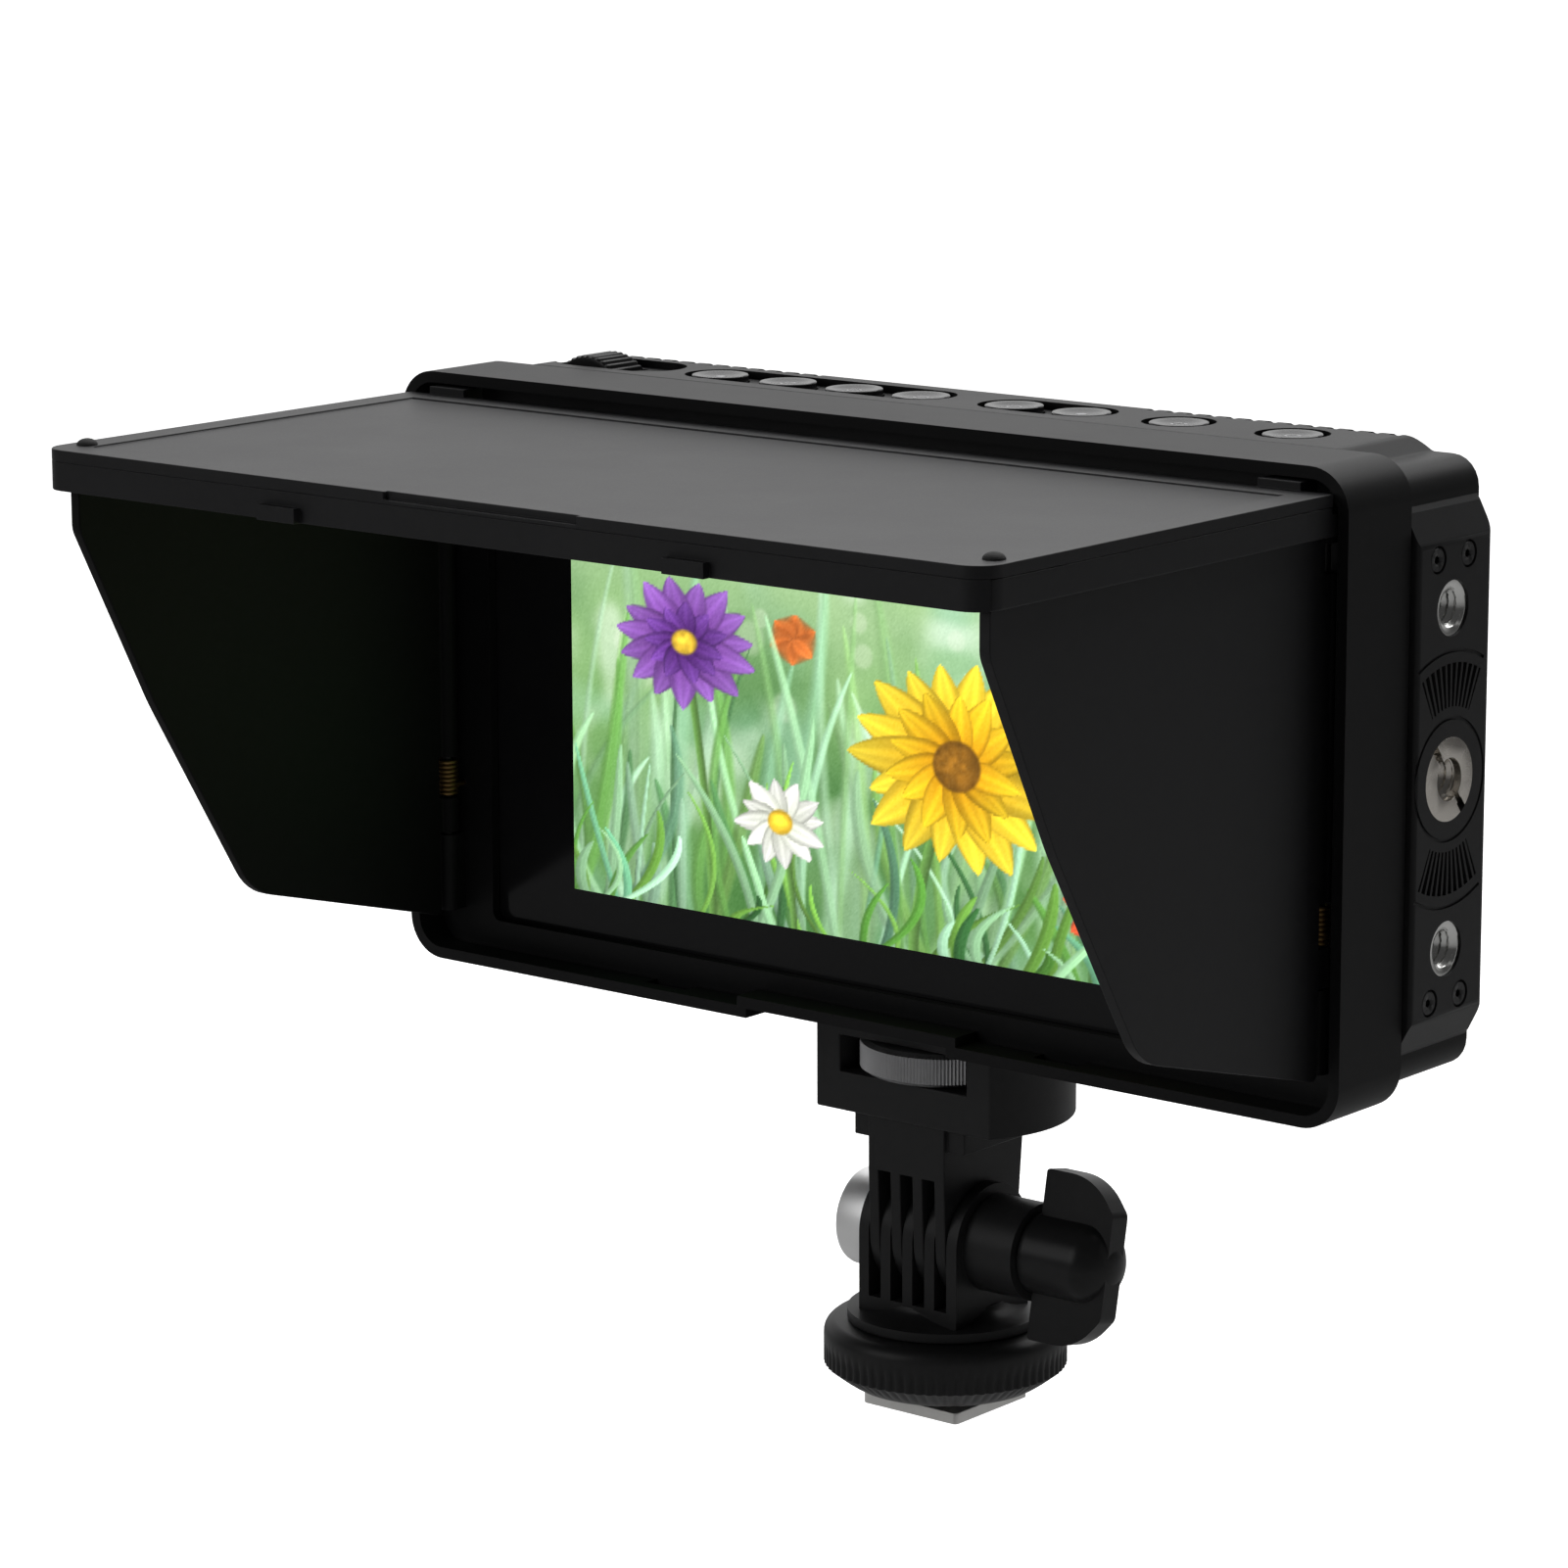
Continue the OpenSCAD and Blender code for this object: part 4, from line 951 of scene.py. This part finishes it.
@dataclass
class TopControls:
    """The eight buttons with their signs, and the menu roller."""

    finishes: Finishes
    top_z: float = 159.4
    places: tuple[float, ...] = (-45.3, -31.5, -18.3, -5.2, 12.6, 25.2, 43.0, 63.2)
    signs: tuple[Mark, ...] = (Mark.DOT, Mark.BAR, Mark.CROSS, Mark.BAR, Mark.RING, Mark.DOT,
                               Mark.CROSS, Mark.RING)
    dish_radius: float = 18.0
    dish_depth: float = 0.4
    dial_x: float = -70.0
    dial_z: float = 152.8
    dial_radius: float = 8.0
    dial_width: float = 7.6
    dial_bore: float = 1.08
    dial_corner: float = 0.6
    dial_ribs: int = 44
    rib_depth: float = 0.4
    sign_rim: Pair = (0.9, 1.25)
    dot_radius: float = 0.85
    sign_lift: float = 0.02

    def build(self) -> None:
        """Rounds the caps, adds the signs and cuts the roller's ribs."""
        for number, (x, sign) in enumerate(zip(self.places, self.signs), 1):
            body = f"button_{number}"
            softened(body, 0.25, self.finishes.button, body, "button_plastic")
            self.mark(f"{body}_sign", x, sign, body)
        self.roller()

    def mark(self, name: str, x: float, sign: Mark, body: str) -> None:
        """A printed sign: strips of a thin skin that follows the cap's dish.

        Args:
            name: The object's name.
            x: The button's place.
            sign: What is drawn.
            body: The button's body.
        """
        rim = self.sign_rim
        strips = {
            Mark.DOT: [(0.0, self.dot_radius, 0.0, 360.0)],
            Mark.RING: [(*rim, 0.0, 360.0)],
            Mark.BAR: [(*rim, 20.0, 160.0), (*rim, 200.0, 340.0)],
            Mark.CROSS: [(*rim, 10.0 + q, 80.0 + q) for q in (0.0, 90.0, 180.0, 270.0)],
        }[sign]
        rings, steps = 4, 33
        lift = self.top_z + self.dish_radius - self.dish_depth + self.sign_lift
        points, faces = [], []
        for number, (inner, outer, start, end) in enumerate(strips):
            radius = np.linspace(inner, outer, rings)[:, None]
            angle = np.radians(np.linspace(start, end, steps))[None, :]
            height = lift - np.sqrt(self.dish_radius ** 2 - radius ** 2)
            points.append(about(Axis.Z, radius, angle, height))
            faces.append(grid_faces(rings, steps, False, False)[:, ::-1] + number * rings * steps)
        skin = new_object(name, np.concatenate(points) + (x, 0, 0), np.concatenate(faces))
        close_poles(skin)
        place(skin, self.finishes.mark, body, "button_plastic")

    def roller(self) -> None:
        """Rounded ribs across the rim: the radius falls by a half-wave."""
        half, r = self.dial_width / 2, self.dial_radius
        bore, corner = self.dial_bore, self.dial_corner
        profile = [
            (bore, -half), (r - 1.0, -half), *arc((r - corner, corner - half), corner, -90, 0, 4),
            (r, 0.0), *arc((r - corner, half - corner), corner, 0, 90, 4), (r - 1.0, half),
            (bore, half),
        ]

        def ribs(radius: Array, along: Array, angle: Array) -> Array:
            """Grooves between the roller's rounded corners."""
            wave = half_wave(angle * self.dial_ribs, 1.4)
            return np.where(radius > r - 0.3, -self.rib_depth * wave, 0.0)

        roller = turned("menu_roller", Axis.Y, (self.dial_x, 0, self.dial_z), profile,
                        self.dial_ribs * 10, ribs)
        place(roller, self.finishes.knob, "menu_dial", "knob_plastic", "menu_dial")


@dataclass
class SunHood:
    """The frame, the three flaps, their pins and springs."""

    finishes: Finishes

    def build(self) -> None:
        """Rounds the frame and the flaps and dresses the hinges."""
        f = self.finishes
        softened("hood_frame", 0.3, f.hood, "monitor", "hood_plastic")
        for node in ("top_flap", "flap_front", "flap_cheeks"):
            softened(node, 0.3, f.flap, "top_flap", "flap_plastic")
        # Painted shade: the left flap gets the darker copy of the flap plastic for its inner face in
        # the hood's shade, and the right flap the plain one
        softened("side_flap_left", 0.3, f.shaded_flap, "side_flap_left", "flap_plastic")
        softened("side_flap_right", 0.3, f.flap, "side_flap_right", "flap_plastic")
        # The springs get the darkened brass, which is painted shade of the hinge slots
        dress_nodes({f.rubber: ("flap_bumpers",), f.shaded_brass: ("hinge_springs",),
                     f.blackened: ("top_hinge_pins", "side_hinge_pins")})


def soft_step(low: float, high: float, value: Array) -> Array:
    """A smooth rise from 0 at low to 1 at high: three times the square less twice the cube."""
    share = unit((value - low) / (high - low))
    return share * share * (3.0 - 2.0 * share)


@dataclass
class MeadowPicture:
    """A spring meadow of made-up blossoms, painted on the points of a fine grid.

    The canvas runs from 0 to the aspect in u and from 0 to 1 in v, and holds display colours until
    the end, when they are made linear.
    """

    finish: LitPicture
    width: float = 122.0
    height: float = 68.6
    middle_z: float = 111.7
    front_y: float = -18.13
    columns: int = 420
    rows: int = 236
    blades: int = 150
    root: float = -0.05
    seed: int = 23

    def __post_init__(self) -> None:
        """Lays out the canvas and seeds its noise."""
        self.rng = np.random.default_rng(self.seed)
        self.aspect = self.width / self.height
        self.u, self.v = np.meshgrid(np.linspace(0, self.aspect, self.columns),
                                     np.linspace(0, 1, self.rows))
        self.canvas = np.zeros((self.rows, self.columns, 3))

    def cloud(self, cell: float, octaves: int = 3) -> Array:
        """Value noise: random heights on a lattice, eased between its points, summed by octaves.

        Args:
            cell: The size of the largest cell.
            octaves: How many finer layers are summed.

        Returns:
            Values from 0 to 1 over the canvas.
        """
        total, weight = np.zeros_like(self.u), 0.0
        for octave in range(octaves):
            size = cell / 2 ** octave
            lattice = self.rng.random((int(1 / size) + 3, int(self.aspect / size) + 3))
            i, j = (self.v / size).astype(int), (self.u / size).astype(int)
            a = soft_step(0, 1, self.v / size - i)
            b = soft_step(0, 1, self.u / size - j)
            low = lattice[i, j] * (1 - b) + lattice[i, j + 1] * b
            high = lattice[i + 1, j] * (1 - b) + lattice[i + 1, j + 1] * b
            total += (low * (1 - a) + high * a) / 2 ** octave
            weight += 1 / 2 ** octave
        return total / weight

    def lay(self, mask: Array, colour: Array | Colour) -> None:
        """Lays a colour over the canvas where the mask says."""
        share = mask[..., None]
        self.canvas = self.canvas * (1 - share) + unit(np.asarray(colour)) * share

    def edge(self, aside: Array, blur: float) -> Array:
        """One between -1 and 1 and zero outside, with a soft edge."""
        return soft_step(1 + blur, 1 - blur, abs(aside))

    def ground(self) -> None:
        """The blurred field: greens that pale upwards, with soft bright spots."""
        field_tone = self.cloud(0.28, 3)[..., None]
        deep, fresh = np.array((0.26, 0.44, 0.24)), np.array((0.62, 0.79, 0.50))
        self.canvas = deep * (1 - field_tone) + fresh * field_tone
        haze = soft_step(0.35, 1.05, self.v + 0.25 * (self.cloud(0.2, 2) - 0.5))
        self.lay(0.6 * haze, (0.78, 0.87, 0.72))
        self.lay(0.65 * soft_step(0.42, 0.75, self.cloud(0.22, 2)), (0.62, 0.80, 0.70))
        self.lay(0.55 * soft_step(0.5, 0.85, self.cloud(0.12, 2)), (0.90, 0.96, 0.88))
        self.lay(0.40 * soft_step(0.45, 0.0, self.v), (0.18, 0.38, 0.14))
        for _ in range(26):
            centre = self.rng.uniform((0, 0.5), (self.aspect, 1.0))
            size = self.rng.uniform(0.015, 0.05)
            away = np.hypot(self.u - centre[0], self.v - centre[1])
            self.lay(0.3 * soft_step(size, size * 0.6, away), (0.9, 0.93, 0.85))

    def blade(self, foot: float, tip: Pair, lean: float, width: float,
              colour: Array, blur: float, strength: float) -> None:
        """One leaf: at height share t its middle follows a parabola and its width a half-ellipse.

        Args:
            foot: Where it starts along the bottom.
            tip: Where it ends.
            lean: How far its middle bows aside.
            width: Its greatest half-width.
            colour: Its colour.
            blur: The softness of its edge.
            strength: Its opacity.
        """
        t = unit((self.v - self.root) / (tip[1] - self.root))
        middle = foot + (tip[0] - foot) * t + lean * 4 * t * (1 - t)
        half = width * np.sqrt(1 - t) * (0.55 + 0.9 * t)
        aside = (self.u - middle) / np.maximum(half, 1e-4)
        mask = self.edge(aside, blur) * soft_step(1.0, 0.985, t)
        shade = 1.0 + 0.16 * np.clip(aside, -1, 1) + 0.22 * (t - 0.5)
        vein = 1.0 + 0.10 * np.exp(-(aside * 6) ** 2)
        self.lay(strength * mask, colour * (shade * vein)[..., None])

    def grass(self, count: int, heights: Pair, widths: Pair,
              blur: float, pale: float, strength: float) -> None:
        """A drift of leaves of random place, lean and green.

        Args:
            count: How many leaves.
            heights: The least and the greatest height of a tip.
            widths: The least and the greatest half-width.
            blur: The softness of their edges.
            pale: The share of haze in their colour.
            strength: Their opacity.
        """
        greens = np.array(((0.30, 0.50, 0.20), (0.42, 0.62, 0.26), (0.22, 0.42, 0.22),
                           (0.56, 0.74, 0.56), (0.38, 0.60, 0.46), (0.62, 0.80, 0.66)))
        for _ in range(count):
            foot = self.rng.uniform(-0.1, self.aspect + 0.1)
            tip = (foot + self.rng.normal(0, 0.14), self.rng.uniform(*heights))
            green = greens[self.rng.integers(len(greens))] * self.rng.uniform(0.75, 1.2)
            self.blade(foot, tip, self.rng.normal(0, 0.05), self.rng.uniform(*widths),
                       green * (1 - pale) + np.array((0.78, 0.88, 0.76)) * pale, blur, strength)

    def rays(self, centre: Pair, reach: float, count: int, breadth: float,
             inner: Colour, outer: Colour, turn: float = 0.0, blur: float = 0.05,
             squash: float = 1.0) -> None:
        """A ring of petals: each one's half-width follows a half-sine to the power 0.7.

        Args:
            centre: The blossom's middle.
            reach: The petals' length.
            count: How many petals.
            breadth: Half-width of a petal as a share of its length.
            inner: The colour at the middle.
            outer: The colour at the tips.
            turn: The first petal's direction, in degrees.
            blur: The softness of the edges.
            squash: How flat the blossom is seen.
        """
        du, dv = self.u - centre[0], (self.v - centre[1]) / squash
        start, end = np.asarray(inner), np.asarray(outer)
        for k in range(count):
            way = math.radians(turn + 360 * k / count + self.rng.normal(0, 90 / count / 4))
            long = reach * self.rng.uniform(0.9, 1.06)
            t = (du * math.cos(way) + dv * math.sin(way)) / long
            across = (-du * math.sin(way) + dv * math.cos(way)) / long
            inside = unit(t)
            half = breadth * np.sin(math.pi * inside ** 0.8) ** 0.7
            aside = across / np.maximum(half, 1e-4)
            mask = self.edge(aside, blur) * (t > 0) * (t < 1)
            streak = 1.0 + 0.05 * np.sin(aside * 9 + k)
            rim = 1.0 - 0.30 * abs(np.clip(aside, -1, 1)) ** 3
            tone = (start + (end - start) * inside[..., None]) * (streak * rim)[..., None]
            self.lay(mask, tone * self.rng.uniform(0.88, 1.06))

    def button(self, centre: Pair, size: float, colour: Colour, blur: float = 0.1,
               squash: float = 1.0) -> None:
        """The seed head in the middle of a blossom, domed by a soft shade.

        Args:
            centre: Its middle.
            size: Its radius.
            colour: Its colour.
            blur: The softness of its edge.
            squash: How flat it is seen.
        """
        away = np.hypot(self.u - centre[0], (self.v - centre[1]) / squash) / size
        speck = 0.85 + 0.3 * self.cloud(0.012, 1)
        tone = np.asarray(colour) * ((1.12 - 0.35 * away ** 2) * speck)[..., None]
        self.lay(self.edge(away, blur), tone)

    def stem(self, centre: Pair, foot: float, width: float, blur: float) -> None:
        """A stem from the bottom up to a blossom.

        Args:
            centre: The blossom's middle.
            foot: Where the stem starts along the bottom.
            width: Its half-width.
            blur: The softness of its edges.
        """
        t = unit(self.v / centre[1])
        middle = foot + (centre[0] - foot) * t ** 1.6
        aside = (self.u - middle) / width
        tone = np.array((0.36, 0.52, 0.26)) * (1 - 0.25 * np.clip(aside, -1, 1))[..., None]
        self.lay(self.edge(aside, blur) * (self.v < centre[1]), tone)

    def paint(self) -> None:
        """Paints from the far field to the near blossoms."""
        self.ground()
        self.grass(self.blades // 3, (0.45, 0.95), (0.010, 0.036), 0.8, 0.4, 0.55)
        for spot, reach, tone in (((1.60, 0.80), 0.11, (0.93, 0.50, 0.44)),
                                  ((0.18, 0.88), 0.10, (0.95, 0.86, 0.40)),
                                  ((0.92, 0.93), 0.07, (0.60, 0.34, 0.70)),
                                  ((0.66, 0.66), 0.07, (0.96, 0.52, 0.24))):
            self.rays(spot, reach, 6, 0.5, tuple(c * 0.8 for c in tone), tone, 20, 0.9, 0.8)
        self.grass(self.blades // 3, (0.25, 0.75), (0.009, 0.030), 0.5, 0.15, 0.8)
        violet = (0.34, 0.62)
        self.stem(violet, 0.42, 0.011, 0.4)
        self.rays(violet, 0.21, 15, 0.22, (0.40, 0.20, 0.52), (0.64, 0.44, 0.80), 6, 0.12, 0.72)
        self.rays(violet, 0.13, 11, 0.26, (0.30, 0.14, 0.42), (0.52, 0.32, 0.70), 20, 0.12, 0.72)
        self.button(violet, 0.038, (0.90, 0.74, 0.24), 0.15, 0.75)
        self.grass(self.blades // 4, (0.12, 0.5), (0.009, 0.024), 0.25, 0.05, 0.95)
        yellow = (1.12, 0.43)
        self.stem(yellow, 1.00, 0.014, 0.25)
        self.rays(yellow, 0.29, 18, 0.2, (0.94, 0.68, 0.10), (1.0, 0.90, 0.26), 0, 0.06, 0.84)
        self.rays(yellow, 0.20, 14, 0.22, (0.88, 0.58, 0.06), (0.99, 0.84, 0.18), 12, 0.06, 0.84)
        self.button(yellow, 0.066, (0.56, 0.38, 0.12), 0.08, 0.87)
        white = (0.62, 0.24)
        self.stem(white, 0.66, 0.009, 0.3)
        self.rays(white, 0.13, 12, 0.24, (0.88, 0.90, 0.82), (0.99, 0.99, 0.97), 8, 0.08, 0.8)
        self.button(white, 0.036, (0.97, 0.79, 0.22), 0.1, 0.8)
        poppy = (1.58, 0.17)
        self.rays(poppy, 0.17, 9, 0.34, (0.82, 0.24, 0.14), (0.96, 0.42, 0.26), 15, 0.15, 0.75)
        self.button(poppy, 0.034, (0.20, 0.14, 0.12), 0.2, 0.8)
        self.grass(self.blades // 5, (0.04, 0.24), (0.010, 0.026), 0.18, 0.0, 1.0)

    def build(self) -> Piece:
        """Paints the canvas and hangs it just in front of the glass.

        Returns:
            The picture.
        """
        self.paint()
        grain = self.rng.normal(0, 0.012, self.u.shape)[..., None]
        shown = unit(self.canvas + grain)
        light = np.where(shown <= 0.04045, shown / 12.92, ((shown + 0.055) / 1.055) ** 2.4)
        x = self.u / self.aspect * self.width - self.width / 2
        z = self.middle_z + (self.v - 0.5) * self.height
        points = np.stack([x, np.full_like(x, self.front_y), z], axis=-1).reshape(-1, 3)
        screen = new_object("lit_picture", points,
                            grid_faces(self.rows, self.columns, False, False), False)
        paint = screen.data.color_attributes.new(self.finish.attribute, "FLOAT_COLOR", "POINT")
        colours = np.concatenate([light.reshape(-1, 3), np.ones((light.size // 3, 1))], axis=1)
        paint.data.foreach_set("color", colours.astype(np.float32).ravel())
        return place(screen, self.finish.material(), "monitor", "lcd")


@dataclass
class Studio:
    """The camera at the photograph's angle, the pale floor, the lamps and the sky.

    A glow pair is a distance in metres and the floor's glow there.
    """

    eye: Point = (511.59, -662.02, 271.84)
    azimuth: float = 39.42
    elevation: float = 11.65
    roll: float = -0.19
    lens: float = 126.94
    sensor: float = 36.0
    near_clip: float = 0.01
    floor_z: float = -90.0
    floor_half: float = 6000.0
    bright_way: Point = (-0.63, 0.77, 0.1)
    glossy_low: float = 0.06
    glossy_high: float = 0.8
    diffuse_share: float = 0.5
    glow_near: Pair = (0.5, 0.8)
    glow_far: Pair = (1.6, 1.0)
    lobe_edge: float = 0.25
    lobe_core: float = 0.98

    def build(self) -> None:
        """Sets up everything that isn't the object."""
        scene = bpy.context.scene
        scene.view_settings.view_transform = "Standard"
        scene.camera = self.camera()
        self.floor()
        self.lamps()
        scene.world = self.sky()

    def camera(self) -> Piece:
        """The camera's axes follow from its azimuth, elevation and roll.

        Returns:
            The camera.
        """
        a, e, r = (math.radians(v) for v in (self.azimuth, self.elevation, self.roll))
        back = np.array((math.sin(a) * math.cos(e), -math.cos(a) * math.cos(e), math.sin(e)))
        side = np.array((math.cos(a), math.sin(a), 0.0))
        up = np.cross(back, side)
        right = side * math.cos(r) + up * math.sin(r)
        top = up * math.cos(r) - side * math.sin(r)
        data = bpy.data.cameras.new("camera")
        data.lens = self.lens
        data.sensor_width = self.sensor
        data.clip_start = self.near_clip
        return self.hang(data, self.eye, (right, top, back))

    def hang(self, data: bpy.types.ID, spot: Point, axes: Sequence[Array]) -> Piece:
        """Hangs a lamp or the camera.

        Args:
            data: What hangs there.
            spot: Where it hangs, in millimetres.
            axes: The directions to its right, upwards and behind it.

        Returns:
            The object.
        """
        hung = add(data.name, data)
        turn = Matrix(axes).transposed().to_4x4()
        hung.matrix_world = Matrix.Translation([v * MM for v in spot]) @ turn
        return hung

    def floor(self) -> None:
        """A pale floor below the object. The camera sees it glow, the more the farther off."""
        h, z = self.floor_half, self.floor_z
        points = np.array(((-h, -h, z), (h, -h, z), (h, h, z), (-h, h, z)))
        floor = new_object("floor", points, np.array(((0, 1, 2, 3),)), False)
        g = Graph("floor_paint")
        speck = g.noise(40.0, 2.0)
        camera, glossy, through = g.rays("Camera", "Glossy", "Transmission")
        seen = camera + through + glossy * self.glossy_low
        pale = g.blend((0.86, 0.86, 0.86), (0.9, 0.9, 0.9), speck)
        dimmed = g.blend(pale, (0.4, 0.4, 0.4), glossy)
        paint = g.node("ShaderNodeBsdfDiffuse", {}, {"Color": dimmed}, "BSDF")
        away = g.node("ShaderNodeVectorMath", {"operation": "LENGTH"}, {0: g.place()}, "Value")
        strength = g.rise(away, self.glow_near, self.glow_far)
        glow = g.node("ShaderNodeEmission", {}, {"Color": (1.0, 1.0, 1.0), "Strength": strength},
                      "Emission")
        lit = g.node("ShaderNodeAddShader", {}, {0: paint, 1: glow}, "Shader")
        g.end(g.node("ShaderNodeMixShader", {}, {0: seen, 1: paint, 2: lit}, "Shader"))
        dress(floor, g.owner)

    def lamp(self, name: str, spot: Point, aim: Point,
             size: Pair, watts: float) -> None:
        """A soft rectangular lamp.

        Args:
            name: The lamp's name.
            spot: Where it hangs, in millimetres.
            aim: What it points at.
            size: Its width and height in metres.
            watts: Its power.
        """
        data = bpy.data.lights.new(name, "AREA")
        data.shape, data.size, data.size_y, data.energy = "RECTANGLE", *size, watts
        way = np.subtract(spot, aim) / np.linalg.norm(np.subtract(spot, aim))
        side = np.cross((0.0, 0.0, 1.0), way)
        side /= np.linalg.norm(side)
        self.hang(data, spot, (side, np.cross(way, side), way))

    def lamps(self) -> None:
        """A broad lamp overhead and behind, a strip at the right and a weak one in front."""
        self.lamp("overhead", (-100, 500, 1100), (0, -20, 110), (1.4, 1.0), 14.0)
        self.lamp("right_strip", (900, 350, 350), (60, 0, 110), (0.3, 1.0), 0.2)
        self.lamp("front_fill", (-500, -1100, 600), (0, 0, 100), (0.8, 0.8), 3.2)

    def sky(self) -> bpy.types.World:
        """White where the camera looks; reflections find it bright behind the object alone.

        Returns:
            The world.
        """
        g = Graph("studio", True)
        way = g.node("ShaderNodeTexCoord", output="Generated")
        facing = g.node("ShaderNodeVectorMath", {"operation": "DOT_PRODUCT"},
                        {0: way, 1: self.bright_way}, "Value")
        lobe = g.rise(facing, (self.lobe_edge, self.glossy_low), (self.lobe_core, self.glossy_high))
        camera, through, diffuse = g.rays("Camera", "Transmission", "Diffuse")
        seen = camera + through
        level = seen + (1.0 - seen) * lobe * (1.0 - diffuse * (1.0 - self.diffuse_share))
        g.end(g.node("ShaderNodeBackground", {}, {"Color": (1.0, 1.0, 1.0), "Strength": level},
                     "Background"), "ShaderNodeOutputWorld")
        return g.owner


def main() -> None:
    """Builds the studio and the sub-assemblies in order."""
    logging.basicConfig(level=logging.INFO, format="%(name)s %(message)s")
    Studio().build()
    finishes = Finishes()
    ShoeMount(finishes).build()
    MonitorBody(finishes).build()
    SideThreads(finishes).build()
    TopControls(finishes).build()
    SunHood(finishes).build()
    MeadowPicture(LitPicture("lit_picture")).build()


if __name__ == "__main__":
    main()
